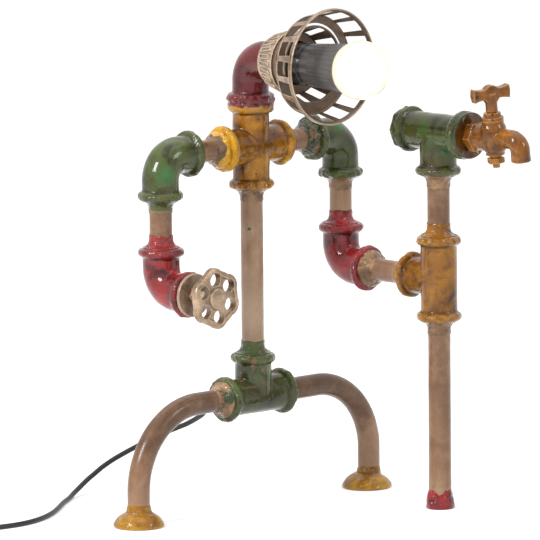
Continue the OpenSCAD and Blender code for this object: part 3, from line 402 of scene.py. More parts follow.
def copies_tree():
    """Geometry nodes that repeat a piece round an axis through a centre."""
    tree = bpy.data.node_groups.new("Copies round an axis", "GeometryNodeTree")
    for name, kind in (("Geometry", "Geometry"), ("Count", "Int"), ("Turn", "Float"), ("Centre", "Vector"),
                       ("Axis", "Vector"), ("Material", "Material")):
        tree.interface.new_socket(name, in_out="INPUT", socket_type="NodeSocket" + kind)
    tree.interface.new_socket("Geometry", in_out="OUTPUT", socket_type="NodeSocketGeometry")
    given = tree.nodes.new("NodeGroupInput").outputs
    line = node(tree, "GeometryNodeMeshLine", {"Offset": (0, 0, 0), "Count": given["Count"],
                                               "Start Location": given["Centre"]})
    back = node(tree, "ShaderNodeVectorMath", {0: given["Centre"], "Scale": -1.0}, operation="SCALE")
    shift = node(tree, "GeometryNodeTransform", {"Geometry": given["Geometry"], "Translation": back.outputs[0]})
    number = tree.nodes.new("GeometryNodeInputIndex")
    part = node(tree, "ShaderNodeMath", {0: number.outputs[0], 1: given["Count"]}, operation="DIVIDE")
    angle = node(tree, "ShaderNodeMath", {0: part.outputs[0], 1: 2 * math.pi, 2: given["Turn"]},
                 operation="MULTIPLY_ADD")
    turn = node(tree, "FunctionNodeAxisAngleToRotation", {"Axis": given["Axis"], "Angle": angle.outputs[0]})
    place = node(tree, "GeometryNodeInstanceOnPoints", {"Points": line.outputs["Mesh"], "Rotation": turn.outputs[0],
                                                        "Instance": shift.outputs["Geometry"]})
    real = node(tree, "GeometryNodeRealizeInstances", {"Geometry": place.outputs["Instances"]})
    coat = node(tree, "GeometryNodeSetMaterial", {"Geometry": real.outputs["Geometry"],
                                                  "Material": given["Material"]})
    node(tree, "NodeGroupOutput", {"Geometry": coat.outputs["Geometry"]})
    return tree


def copies(part, count, turn, centre, material=None):
    """A solid repeated evenly round a level axis from front to back. The turn is in degrees."""
    tree = bpy.data.node_groups.get("Copies round an axis") or copies_tree()
    ob = made("copies", [part])
    m = ob.modifiers.new("copies", "NODES")
    ids = {s.name: s.identifier for s in tree.interface.items_tree if s.in_out == "INPUT"}
    m.node_group = tree
    m[ids["Count"]] = int(count)
    m[ids["Turn"]] = math.radians(turn)
    m[ids["Centre"]] = [float(c) * MM for c in centre]
    m[ids["Axis"]] = [float(c) for c in BACK]
    if material is not None:
        m[ids["Material"]] = material
    baked(ob)
    out = points(ob), [tuple(p.vertices) for p in ob.data.polygons]
    dropped(ob)
    return out


# ---------------------------------------------------------------- materials

def tone(code):
    """Linear colour of a six figure web colour."""
    c = [int(code[i:i + 2], 16) / 255 for i in (1, 3, 5)]
    return tuple(x / 12.92 if x <= 0.04045 else ((x + 0.055) / 1.055) ** 2.4 for x in c) + (1.0,)


class Paint:
    """A material under construction."""

    def __init__(self, name):
        self.material = bpy.data.materials.new(name)
        self.material.use_nodes = True
        self.tree = self.material.node_tree
        self.tree.nodes.clear()
        self.place = self.add("ShaderNodeTexCoord").outputs["Object"]

    def add(self, kind, inputs=None, **settings):
        return node(self.tree, kind, inputs, **settings)

    def clouds(self, size, detail=3.0, rough=0.55, distort=0.0, stretch=(1, 1, 1), shift=(0, 0, 0)):
        """Noise with lumps about this size, in millimetres."""
        at = self.add("ShaderNodeMapping", {"Vector": self.place, "Location": shift, "Scale": stretch}).outputs[0]
        return self.add("ShaderNodeTexNoise", {"Vector": at, "Scale": 1000.0 / size, "Detail": detail,
                                               "Roughness": rough, "Distortion": distort}).outputs["Fac"]

    def ramp(self, value, *stops):
        """Colours or plain levels between stops, each a position and what it gives."""
        n = self.add("ShaderNodeValToRGB", {"Fac": value})
        e = n.color_ramp.elements
        while len(e) < len(stops):
            e.new(0.5)
        for item, (at, colour) in zip(e, stops):
            item.position = at
            item.color = colour if hasattr(colour, "__len__") else (colour, colour, colour, 1.0)
        return n.outputs["Color"]

    def mix(self, factor, a, b, kind="MIX"):
        return self.add("ShaderNodeMix", {0: factor, 6: a, 7: b}, data_type="RGBA", blend_type=kind,
                        clamp_factor=True).outputs[2]

    def over(self, base, colour, value, *stops):
        """The colour laid over the base as a ramp of the value says."""
        return self.mix(self.ramp(value, *stops), base, colour)

    def maths(self, kind, a, b=0.0):
        return self.add("ShaderNodeMath", {0: a, 1: b}, operation=kind).outputs[0]

    def about(self, value, gain, to):
        """A value's distance from one half, times a gain, added to another value."""
        return self.maths("ADD", to, self.maths("MULTIPLY", self.maths("SUBTRACT", value, 0.5), gain))

    def stored(self, name):
        return self.add("ShaderNodeAttribute", attribute_name=name).outputs["Fac"]

    def grained(self, base, size, factor):
        """The base with a fine grain laid over it."""
        grain = self.ramp(self.clouds(size, 2, 0.6), (0.3, 0.0), (0.7, 1.0))
        return self.mix(factor, base, grain, "OVERLAY")

    def bump(self, height, strength, distance):
        return self.add("ShaderNodeBump", {"Height": height, "Strength": strength,
                                           "Distance": distance * MM}).outputs["Normal"]

    def ends(self, shader):
        out = self.add("ShaderNodeOutputMaterial")
        self.tree.links.new(shader.outputs[0], out.inputs["Surface"])
        return self.material

    def done(self, **inputs):
        names = {k.replace("_", " "): v for k, v in inputs.items()}
        return self.ends(self.add("ShaderNodeBsdfPrincipled", names))


def main_tone(name, code):
    """A material's main colour: the property of its name, or else this web colour."""
    varnish = bpy.context.scene.pipe_lamp_varnish
    return tuple(getattr(varnish, name)) + (1.0,) if hasattr(varnish, name) else tone(code)


def varnished(name, deep, body, bright, brown, edge, second, spark, seed, brown_share=0.5, waves=0.35):
    """Mottled paint under a thick glossy coat, with painted shade in its hollows and a painted highlight along proud
    edges. The second colour shows where the piece says.
    """
    p = Paint(name)
    body = main_tone(name, body)
    deep, bright, brown, edge, second, spark = (tone(c) for c in (deep, bright, brown, edge, second, spark))
    shift = (seed * 0.37, seed * 0.21, seed * 0.53)
    wide = p.clouds(22, 4, 0.6, 0.5, shift=shift)
    base = p.ramp(wide, (0.34, deep), (0.5, body), (0.68, bright))
    streak = p.clouds(9, 5, 0.65, 1.2, shift=shift)
    base = p.over(base, bright, streak, (0.52, 0.0), (0.8, 0.4))
    patch = p.clouds(38, 5, 0.7, 0.8, shift=shift[::-1])
    base = p.over(base, brown, patch, (0.46, 0.0), (0.64, brown_share))
    # deeper as the stored dark value says: each piece's own tone, plus painted shade on undersides and where a piece
    # sets it
    base = p.over(base, deep, p.about(wide, 0.5, p.stored("dark")), (0.1, 0.0), (0.9, 0.9))
    glow = p.maths("MULTIPLY", p.stored("glow"), p.ramp(streak, (0.3, 0.4), (0.6, 1.0)))
    base = p.mix(glow, base, spark)
    # painted shade: deep colour in the hollows; painted highlight: the edge colour on proud edges
    hollow = p.stored("hollow")
    base = p.over(base, deep, hollow, (0.53, 0.0), (0.7, 0.85))
    base = p.over(base, edge, hollow, (0.2, 0.75), (0.44, 0.0))
    ragged = p.about(p.clouds(6, 4, 0.6, 0.6), 1.1, p.stored("second"))
    other = p.over(second, brown, p.clouds(12, 4, 0.6, 0.5), (0.35, 0.0), (0.7, 0.5))
    base = p.over(base, other, ragged, (0.42, 0.0), (0.58, 1.0))
    base = p.grained(base, 1.1, 0.16)
    fine = p.bump(p.clouds(2.2, 3, 0.6), 0.25 * waves, 0.6)
    drops = p.maths("MULTIPLY", p.clouds(6.5, 1, 0.45, 0.9), p.maths("MULTIPLY", p.stored("wrinkle"), 4.0))
    wave = p.bump(p.maths("ADD", p.maths("MULTIPLY", p.clouds(7, 2, 0.5, 0.4), 0.6), drops), waves, 1.6)
    return p.done(Base_Color=base, Roughness=p.ramp(streak, (0.3, 0.32), (0.8, 0.46)), Normal=fine,
                  Specular_IOR_Level=0.08, Coat_Weight=1.0, Coat_Roughness=0.06, Coat_IOR=1.38, Coat_Normal=wave)


def pipe_paint(name, dark, body, light, deep):
    """Satin pipe with long streaks, cloudy wear, small dark specks and a stored fleck of green."""
    p = Paint(name)
    body = main_tone(name, body)
    dark, light, deep = (tone(c) for c in (dark, light, deep))
    wide = p.clouds(45, 4, 0.6, 0.4)
    base = p.ramp(wide, (0.3, dark), (0.5, body), (0.7, light))
    streak = p.clouds(5, 4, 0.6, 0.3, stretch=(1, 1, 0.08))
    base = p.over(base, dark, streak, (0.45, 0.0), (0.75, 0.45))
    shade = p.stored("dark")
    base = p.over(base, deep, p.about(p.clouds(15, 4, 0.65, 0.5), 0.9, shade), (0.25, 0.0), (0.75, 0.85))
    base = p.over(base, light, p.maths("MULTIPLY", shade, -1.0), (0.15, 0.0), (0.9, 0.85))
    cells = p.add("ShaderNodeTexVoronoi", {"Vector": p.place, "Scale": 1000.0 / 4.5}).outputs["Distance"]
    specks = p.maths("MULTIPLY", p.ramp(cells, (0.03, 0.8), (0.09, 0.0)),
                     p.ramp(p.clouds(14, 2), (0.5, 0.0), (0.62, 1.0)))
    base = p.mix(specks, base, tone("#4a3a2c"))
    base = p.grained(base, 0.9, 0.14)
    base = p.over(base, tone("#1f5a3c"), p.stored("second"), (0.45, 0.0), (0.55, 1.0))
    return p.done(Base_Color=base, Roughness=p.ramp(wide, (0.3, 0.34), (0.7, 0.46)),
                  Normal=p.bump(p.clouds(1.6, 3, 0.6), 0.12, 0.5),
                  Specular_IOR_Level=0.25, Coat_Weight=0.5, Coat_Roughness=0.16, Coat_IOR=1.4)


def bronze_paint(name, dark, body, light, deep="#3a2a20"):
    """Bronze paint, dark in its hollows, rubbed pale along its edges, and deeper where the piece says: painted shade
    on the inner faces of collar and basket.
    """
    p = Paint(name)
    dark, body, light = tone(dark), main_tone(name, body), tone(light)
    base = p.ramp(p.clouds(16, 4, 0.6, 0.5), (0.3, dark), (0.48, body), (0.72, light))
    hollow = p.stored("hollow")
    base = p.over(base, dark, hollow, (0.54, 0.0), (0.75, 0.9))
    base = p.over(base, light, hollow, (0.25, 0.85), (0.44, 0.0))
    # painted shade: deeper where the stored second value says
    base = p.over(base, tone(deep), p.stored("second"), (0.2, 0.0), (0.8, 0.9))
    base = p.grained(base, 0.8, 0.2)
    return p.done(Base_Color=base, Roughness=0.36, Metallic=0.35, Normal=p.bump(p.clouds(1.8, 3, 0.6), 0.2, 0.5),
                  Specular_IOR_Level=0.5, Coat_Weight=0.35, Coat_Roughness=0.15)


def plain_paint(name, colour, other, rough, metallic=0.0, coat=0.0, size=3.0, bumps=0.1):
    """A quiet material with a little cloud in its colour and its surface."""
    p = Paint(name)
    base = p.ramp(p.clouds(size * 3, 4, 0.6, 0.3), (0.35, tone(colour)), (0.7, tone(other)))
    return p.done(Base_Color=base, Roughness=rough, Metallic=metallic,
                  Normal=p.bump(p.clouds(size, 3, 0.6), bumps, 0.3), Coat_Weight=coat, Coat_Roughness=0.1)


def lit_paint(name, colour):
    """Lit glass, warmer where the stored second colour says, and at its rim through the coat's tint."""
    p = Paint(name)
    warm = p.mix(p.stored("second"), tone("#ffffff"), tone(colour))
    return p.done(Base_Color=tone("#101010"), Roughness=0.5, Specular_IOR_Level=0.0, Emission_Color=warm,
                  Emission_Strength=bpy.context.scene.pipe_lamp_stage.bulb_glow, Coat_Weight=1.0,
                  Coat_Roughness=0.1, Coat_Tint=tone("#c9c6b6"))


# Each material's slot, maker, colours in the maker's order, and further settings.
COATS = {
    "coat_green": ("cast_green", varnished, "#1f2410 #4b5529 #4c682e #5c4a2c #5c5c30 #86694e #2a7c48", 1),
    "coat_ochre": ("cast_ochre", varnished, "#46270a #8f5a0e #bd8216 #6e4212 #c08a2c #dca014 #e8bc38", 2, 0.4),
    "coat_red": ("cast_red", varnished, "#401519 #85282a #b02226 #583430 #8c2a2c #c08a1e #d02028", 3),
    "coat_foot": ("cast_ochre", varnished, "#6a4210 #a06c18 #cc9a22 #6a4618 #c49834 #9a7a50 #e0b020", 4, 0.4),
    "coat_dish": ("cast_ochre", varnished, "#2a1808 #5c3a12 #86561a #4a2c10 #785220 #35492b #a87020", 7, 0.5, 0.25),
    "coat_tap": ("cast_ochre", varnished, "#4c2a0c #8a5212 #ae7020 #603812 #b67c2c #1c140c #c89a3c", 5, 0.4, 0.25),
    "resin_tan": ("pipe_tan", varnished, "#5a422c #947252 #b08c68 #6e5036 #b4906c #1c4024 #c8ae92", 6, 0.3, 0.6),
    "resin_gold": ("pipe_tan", varnished, "#54402c #80624a #a58668 #5c4228 #c09c60 #e4ac28 #e8dccc", 8, 0.4, 0.9),
    "pipe_pale": ("pipe_tan", pipe_paint, "#83634a #a28266 #bfa488 #5e432e"),
    "pipe_tan": ("pipe_tan", pipe_paint, "#73523a #8f6b4f #ad8b6e #543822"),
    "bronze": ("bronze", bronze_paint, "#5e4a38 #987c62 #c4aa8c"),
    "bronze_cage": ("bronze", bronze_paint, "#4c3a2a #7e6550 #b59c84 #645040"),
    "bronze_collar": ("bronze", bronze_paint, "#47362a #90765e #ccb398 #4a3a2e"),
    "brass": ("brass", plain_paint, "#a87c3c #c89c54", 0.35, 1.0),
    "steel": ("steel", plain_paint, "#8f8b84 #b5b1aa", 0.35, 1.0),
    "black_gloss": ("black_plastic", plain_paint, "#1b1a19 #262422", 0.42, 0.0, 0.2, 6.0, 0.04),
    "black_plastic": ("black_plastic", plain_paint, "#121214 #1d1d20", 0.45, 0.0, 0.0, 1.2, 0.15),
    # the heat sink's grey, lightened as a painted glare from the globe
    "sink_grey": ("heat_sink", plain_paint, "#4a4846 #5a5754", 0.42, 0.0, 0.25, 14.0, 0.08),
    "ceramic": ("ceramic", plain_paint, "#ded8ca #eee8dc", 0.4),
    "board_white": ("board", plain_paint, "#e6e6e4 #f4f4f2", 0.6),
    "cable_black": ("cable", plain_paint, "#0b0a0a #161414", 0.45, 0.0, 0.0, 1.5, 0.12),
    "globe_lit": ("globe", lit_paint, "#ffe9a0"),
}
_paints = {}


def paint(name):
    """The material of this name, made when it is first asked for."""
    if name not in _paints:
        _, maker, colours, *settings = COATS[name]
        _paints[name] = maker(name, *colours.split(), *settings)
    return _paints[name]


# ---------------------------------------------------------------- castings

def mouth_profile(reach, bead=BEAD_R):
    """Half section of a fitting's arm, from its middle to its closed mouth."""
    return [(0, -2), (BODY_R, -2), (BODY_R, reach * 0.5), (BODY_R, reach - 2 * bead)] \
        + arc((BODY_R, reach - bead), bead, -90, 90, 14)[1:] + [(0, reach)]


def fitting(centre, mouths, beads=None):
    return [lathe(mouth_profile(REACH, (beads or {}).get(m, BEAD_R)), centre, m) for m in mouths]


def elbow(centre, mouths, reach=REACH):
    """A bend between two mouths, with an arm and a bead at each."""
    start, end = (away(centre, m, reach - 6) for m in mouths)
    out = [sweep(bent(start, centre, end, BEND_R, BODY_R, 30), 72)]
    bead = [(0, BEND_R), (BODY_R - 0.01, BEND_R)] + mouth_profile(reach)[3:]
    return out + [lathe(bead, centre, m) for m in mouths]


def bead_share(co, centre, mouths, reach):
    """How close each point is to the bead of one of the mouths, from 0 to 1."""
    share = np.zeros(len(co))
    for m in mouths:
        h = (co - vec(centre)) @ vec(m)
        r = np.linalg.norm(co - vec(centre) - np.outer(h, vec(m)), axis=1)
        share = np.maximum(share, np.exp(-((h - reach + 3.5) / 5.0) ** 2) * np.clip((r - 14) / 3, 0, 1))
    return share


def cast(name, node_name, coat, centre, mouths, seed, solids=None, lump=0.3, bead=0.5, reach=REACH, grow=None,
         dark=0.0, **stored):
    """A casting under varnish: lumps all over, and thicker ones round its mouths."""
    s = bpy.context.scene.pipe_lamp_varnish
    shape = elbow if len(mouths) == 2 else fitting
    ob = fused(name, solids or shape(centre, mouths), s.skin, 3)
    co = points(ob)
    near = bead_share(co, centre, mouths, reach)
    height = lump * s.lumps * lumps((0.55, 13, seed), (0.3, 6, seed + 1))(co)
    height += near * bead * s.lumps * lumps((0.7, 6, seed + 2), (0.35, 3.4, seed + 3))(co)
    height += 0.35 * near * np.clip(-normals(ob)[:, 2], 0, 1)
    if grow:
        height += grow(co)
    swell(ob, height)
    attribute(ob, "wrinkle", np.clip(near * 1.2, 0, 1))
    # the piece's tone, plus painted shade: darker where the skin faces down, paler where it faces up
    attribute(ob, "dark", level(dark, co) + 0.15 * noise(co, 18, seed + 6) - 0.12 * normals(ob)[:, 2])
    for key, value in stored.items():
        attribute(ob, key, level(value, co))
    return finished(ob, coat, [node_name])


def make_fittings():
    def above(co):
        return np.clip((co[:, 2] - BASE_Z - 8) / 8, 0, 1)

    cast("base_tee_cast", "base_tee", "coat_green", BASE, [LEFT, RIGHT, UP], 10, bead=0.9,
         dark=lambda co: 0.5 - 0.55 * above(co),
         second=lambda co: (0.3 + 0.3 * noise(co, 7, 11)) * above(co),
         glow=spot((-34, RISER_Y - 14, BASE_Z - 8), 6, 0.4))
    cast("body_cross_cast", "body_cross", "coat_ochre", CROSS, [LEFT, RIGHT, UP, DOWN], 20, bead=0.9, lump=0.4,
         second=lambda co: np.clip(1.15 - np.abs(co[:, 0] + 37) / 9, 0, 1),
         glow=spot((REACH - 2, RISER_Y - 12, CROSS_Z - 17), 7),
         grow=dents([(x, RISER_Y - y, CROSS_Z + z)
                     for x, y, z in ((-5, 16.5, 27), (3, 17, 22), (6, 16, 29), (-8, 15, -25), (25, 16, -5))]),
         # darker in the middle of the cross: a darker brown there, and painted shade where its arms meet
         dark=lambda co: 0.75 * np.exp(-((co[:, 2] - CROSS_Z) / 12) ** 2 - (co[:, 0] / 26) ** 2) - 0.25)
    # a band of varnish where the head is screwed on, ochre at its lower edge
    join_z = HEAD_Z - HEAD_REACH
    band = [(0, -8.2), (20.4, -8.2), (21.9, -6.4), (22.2, -1), (21.6, 1), (22.4, 3), (22.0, 7), (20.2, 9), (0, 9)]
    cast("head_elbow_cast", "head_elbow", "coat_red", HEAD, [DOWN], 30,
         elbow(HEAD, (DOWN, FRONT), HEAD_REACH) + [lathe(band, (0, RISER_Y, join_z), UP)],
         reach=HEAD_REACH, bead=1.9,
         second=lambda co: np.clip(0.5 + (join_z - 2.5 - co[:, 2]) / 7.0, 0, 1),
         # painted shade: darker towards its left side, paler towards its right
         dark=lambda co: 0.35 + 0.25 * np.clip(-co[:, 0] / 12, -1, 1),
         grow=dents([(x, RISER_Y - y, HEAD_Z + z) for x, y, z in ((-12, 12, -4), (-4, 19, 6), (5, 17, -12))],
                    1.0, 0.5))
    cast("left_shoulder_cast", "left_shoulder_elbow", "coat_green", LEFT_SHOULDER, [RIGHT, DOWN], 40, bead=0.6,
         dark=0.2, glow=spot((-SHOULDER_X - 8, RISER_Y - 18, CROSS_Z - 16), 9, 0.5))
    cast("left_wrist_cast", "left_wrist_elbow", "coat_red", LEFT_WRIST, [UP, FRONT], 50, bead=0.7,
         dark=0.1, glow=spot((-SHOULDER_X + 4, RISER_Y - 24, WRIST_Z + 12), 9))
    cast("right_shoulder_cast", "right_shoulder_elbow", "coat_green", RIGHT_SHOULDER, [LEFT, DOWN], 60, bead=1.3,
         dark=0.35, glow=spot((SHOULDER_X - 14, RISER_Y - 12, CROSS_Z + 12), 7, 0.6))
    cast("right_wrist_cast", "right_wrist_elbow", "coat_red", RIGHT_WRIST, [UP, FRONT], 70, bead=0.8, dark=0.25)
    cast("staff_tee_cast", "staff_tee", "coat_ochre", STAFF_TEE, [UP, DOWN, BACK], 80, lump=0.2, bead=0.7,
         dark=0.28)
    mouths = [FRONT, BACK, DOWN]
    cast("top_tee_cast", "top_tee", "coat_green", TOP_TEE, mouths, 90,
         fitting(TOP_TEE, mouths, {FRONT: TAP_BEAD_R}), lump=0.25, dark=-0.15,
         glow=spot((SHOULDER_X - 8, STAFF_Y - 22, TAP_Z - 16), 6))
    piece("tee_plug_cast", [node_solid("tee_plug")], 0.7, 4, "coat_green", ["tee_plug"],
          lambda co: 0.7 + lumps((0.5, 6, 95), (0.15, 3.5, 96))(co), dark=0.3, wrinkle=1.0)


def flare(centre, way, domed):
    """A bush's flare outside a mouth, hollow or domed, with a thin skirt of varnish up the pipe."""
    profile = [(0, -2.5), (16.9, -2.5), (17.4, 0.8)]
    profile += [(17.6, 2.5), (17.0, 4.6), (15.6, 6.6), (13.8, 8.2), (12.4, 9.6)] if domed \
        else arc((18.3, 7.8), 7.0, -97, -180, 12)
    profile += [(PIPE_R + 0.75, 9 + SKIRT * 0.4), (PIPE_R + 0.6, 8.6 + SKIRT), (PIPE_R - 0.7, 9 + SKIRT),
                (0, 9 + SKIRT)]
    return lathe(profile, away(centre, way, REACH), way)


def flares(name, node_name, seed, items):
    """The bushes of one CAD node as one piece. Each item is (centre, way, material, roughness, second, domed)."""
    s = bpy.context.scene.pipe_lamp_varnish
    parts = []
    for i, (centre, way, coat, rough, second, domed) in enumerate(items):
        ob = fused("part", [flare(centre, way, domed)], s.skin * 0.85)
        co = points(ob)
        h = (co - vec(centre)) @ vec(way) - REACH
        sagging = lumps((0.4, 5, seed + i), (0.35, 2.8, seed + i + 7))(co)
        height = rough * s.lumps * sagging * np.clip(1.3 - h / 12, 0.25, 1)
        co[:, :] += np.outer(1.3 * np.clip((h - 7) / 5, 0, 1) * noise(co, 6, seed + 3), vec(way))
        ob.data.vertices.foreach_set("co", (co * MM).ravel())
        swell(ob, height)
        attribute(ob, "second", level(second, co))
        attribute(ob, "wrinkle", np.full(len(co), 0.9 * rough))
        hollows(ob, 0.8)
        parts.append(coated(ob, coat))
    if len(parts) > 1:
        with bpy.context.temp_override(active_object=parts[0], selected_editable_objects=parts):
            bpy.ops.object.join()
    ob = parts[0]
    ob.name = ob.data.name = name
    return placed(ob, "frame", [node_name])


def make_flares():
    gap = spot((SHOULDER_X - 42, RISER_Y - 12, CROSS_Z - 9), 6)

    def emerald(co):
        return np.clip(0.75 + 0.6 * noise(co, 10, 12) - 1.2 * gap(co), 0, 1)

    def golden_rim(co):
        r = np.hypot(co[:, 1] - RISER_Y, co[:, 2] - CROSS_Z)
        return np.clip((r - 13.6) / 3 + 0.6 * noise(co, 8, 9) + 0.1, 0, 1)

    def bare_end(co):
        return np.clip(((co - vec(LEFT_SHOULDER)) @ vec(DOWN) - REACH - 7.5) / 2, 0, 1)

    flares("base_bush_flares", "base_bushes", 100, [
        (BASE, UP, "coat_green", 0.9, lambda co: 0.3 + 0.35 * noise(co, 9, 21), False),
        (BASE, LEFT, "resin_tan", 0.9, lambda co: np.clip(0.35 + 0.5 * noise(co, 11, 5), 0, 1), False)])
    flares("cross_bush_flares", "cross_bushes", 110, [
        (CROSS, LEFT, "resin_gold", 1.6, golden_rim, True),
        (CROSS, RIGHT, "resin_tan", 0.7, 0.0, False),
        (CROSS, DOWN, "resin_tan", 0.8, 0.0, False)])
    flares("left_arm_flares", "left_arm_bushes", 120, [
        (LEFT_SHOULDER, RIGHT, "resin_tan", 0.6, 0.0, False),
        (LEFT_SHOULDER, DOWN, "coat_green", 0.6, bare_end, False),
        (LEFT_WRIST, UP, "coat_red", 0.9, 0.0, False)])
    flares("right_arm_flares", "right_arm_bushes", 130, [
        (RIGHT_SHOULDER, LEFT, "resin_tan", 1.6, emerald, True),
        (RIGHT_SHOULDER, DOWN, "resin_tan", 0.5, 0.0, False),
        (RIGHT_WRIST, UP, "coat_red", 0.9, 0.0, False),
        (RIGHT_WRIST, FRONT, "resin_tan", 1.5, 0.0, True)])
    flares("staff_flares", "staff_bushes", 140, [
        (STAFF_TEE, UP, "coat_ochre", 1.0, 0.0, False),
        (STAFF_TEE, DOWN, "resin_tan", 0.6, 0.0, False),
        (STAFF_TEE, BACK, "resin_tan", 0.6, 0.0, False)])
    flares("top_flare", "top_bush", 150, [(TOP_TEE, DOWN, "resin_tan", 0.6, 0.0, False)])


# ---------------------------------------------------------------- pipes and feet

def pipe(name, node_name, stations, seed, dark=0.12, coat="pipe_tan", **stored):
    """A pipe with a slightly uneven coat, at full fineness."""
    ob = made(name, [sweep(stations, 64)])
    co = points(ob)
    swell(ob, lumps((0.1, 12, seed), (0.05, 5, seed + 1))(co))
    for key, value in dict(stored, dark=dark).items():
        attribute(ob, key, level(value, co))
    finished(ob, coat, [node_name])


def make_pipes():
    for side, name, x, radius, seed in ((-1, "left_leg", -FOOT_X, 76.0, 200),
                                        (1, "right_leg", FOOT_X + LEG_SHIFT, 68.5, 210)):
        start = (side * (REACH - 2), RISER_Y, BASE_Z)
        pipe(name + "_pipe", name, bent(start, (x, RISER_Y, BASE_Z), (x, RISER_Y, LEG_END), radius, PIPE_R, 60),
             seed, lambda co: np.clip((co[:, 2] - 48) / 45, -0.8, 0.7))

    def riser_shade(co):
        z = co[:, 2]
        return 0.25 * np.exp(-((z - 290) / 30) ** 2) - 0.25 - 0.5 * np.exp(-((z - 185) / 28) ** 2)

    def fleck(co):
        return np.clip(1.6 - np.linalg.norm(co - vec((-8.9, RISER_Y - 5.8, 268.0)), axis=1) / 1.6, 0, 1)

    # each straight pipe goes from one fitting in this way to the next
    runs = (
        ("riser_pipe", BASE, UP, CROSS, dict(dark=riser_shade, coat="pipe_pale", second=fleck)),
        ("left_arm_nipple", CROSS, LEFT, LEFT_SHOULDER, {}),
        ("right_arm_nipple", CROSS, RIGHT, RIGHT_SHOULDER, {}),
        ("left_forearm_nipple", LEFT_WRIST, UP, LEFT_SHOULDER, dict(dark=0.4)),
        ("right_forearm_nipple", RIGHT_WRIST, UP, RIGHT_SHOULDER, dict(dark=-0.6)),
        ("right_hand_nipple", RIGHT_WRIST, FRONT, STAFF_TEE, dict(dark=-0.2)),
        ("staff_upper_pipe", STAFF_TEE, UP, TOP_TEE, dict(dark=0.5)),
        ("staff_lower_pipe", (SHOULDER_X, STAFF_Y, STAFF_END - PIPE_END), UP, STAFF_TEE, dict(
            dark=lambda co: 0.3 * np.clip((co[:, 2] - 60) / 60, 0, 1) + 0.05)),
    )
    for i, (node_name, start, way, goal, looks) in enumerate(runs):
        a, b = away(start, way, PIPE_END), away(goal, way, -PIPE_END)
        steps = max(12, int(np.linalg.norm(b - a) / 2.0))
        stations = [(a + (b - a) * t, b - a, PIPE_R) for t in np.linspace(0, 1, steps)]
        ending = "_tube" if node_name.endswith("nipple") else "_run"
        pipe(node_name + ending, node_name, stations, 220 + i, **looks)


def make_feet():
    s = bpy.context.scene.pipe_lamp_varnish
    foot = [(0, 0), (23.4, 0), (24.2, 0.8), (24.3, 2.2)] \
        + [(24.3 - 12.2 * u + 6.4 * u * (1 - u), 2.2 + 12.1 * u + 3.0 * u * (1 - u))
           for u in np.linspace(0.1, 1, 10)] \
        + [(0, 14.3)]
    neck = [(0, 5), (12.0, 5), (12.0, 15), (11.9, 17.5), (PIPE_R + 0.6, 19.2), (PIPE_R + 0.2, 20.6),
            (PIPE_R - 0.5, 23), (0, 23)]
    for name, x, shift, seed in (("left_foot", -FOOT_X, 0.0, 300), ("right_foot", FOOT_X, LEG_SHIFT, 310)):
        uneven = lumps((0.35, 7, seed), (0.15, 3, seed + 1))
        piece(name + "_cast", [lathe(foot, (x, RISER_Y, 0), UP), lathe(neck, (x + shift, RISER_Y, 0), UP)],
              s.skin * 0.9, 4, "coat_foot", [name],
              lambda co: np.clip((co[:, 2] - 0.5) / 2.5, 0, 1) * uneven(co))

    def ferrule_height(co):
        """Lumps that leave the sole flat, and a notch in the upper edge."""
        turn = np.arctan2(co[:, 1] - STAFF_Y, co[:, 0] - SHOULDER_X)
        notch = np.clip(1 - np.abs((turn + 2.4 + math.pi) % (2 * math.pi) - math.pi) / 0.5, 0, 1)
        return np.clip(co[:, 2] / 3, 0, 1) * lumps((0.4, 4.5, 320), (0.3, 3.0, 321))(co) \
            - 2.0 * notch * np.clip((co[:, 2] - 8) / 8, 0, 1)

    ferrule = [(0, 0), (13.0, 0), (13.8, 0.8), (13.8, 3), (13.0, 9), (11.9, 15), (PIPE_R + 0.5, 17.5),
               (PIPE_R + 0.1, 19), (PIPE_R - 0.5, 21), (0, 21)]
    piece("staff_ferrule_cast", [lathe(ferrule, (SHOULDER_X, STAFF_Y, 0), UP)], s.skin * 0.8, 3, "coat_red",
          ["staff_ferrule"], ferrule_height, wrinkle=1.0, dark=lambda co: 0.45 + 0.5 * noise(co, 7, 322),
          glow=lambda co: np.clip(0.4 * noise(co, 6, 323), 0, 0.3))


# ---------------------------------------------------------------- handwheel

def wheel_edge(angle):
    """Radius of the wheel's outline at an angle from its first hole."""
    step = math.radians(60)
    d = (angle + step / 2) % step - step / 2
    return max(NECK_R, HOLE_PITCH_R * math.cos(d) + math.sqrt(LOBE_R ** 2 - (HOLE_PITCH_R * math.sin(d)) ** 2))


def wheel_disc(turn, segments=180):
    """The disc inside the wheel's outline, with rounded edges."""
    back, face = away(LEFT_WRIST, FRONT, WHEEL_BACK), away(LEFT_WRIST, FRONT, WHEEL_FRONT)
    rows = [[back]]
    for inset, h in ((1.6, WHEEL_BACK), (0.5, WHEEL_BACK + 0.5), (0, WHEEL_BACK + 1.6), (0, WHEEL_FRONT - 2.2),
                     (0.6, WHEEL_FRONT - 0.8), (2.0, WHEEL_FRONT)):
        row = []
        for t in np.arange(segments) * 2 * math.pi / segments:
            r, a = wheel_edge(t) - inset, t + math.radians(turn)
            row.append(away(LEFT_WRIST, FRONT, h) + r * vec((math.cos(a), 0, math.sin(a))))
        rows.append(row)
    return solid(rows + [[face]])


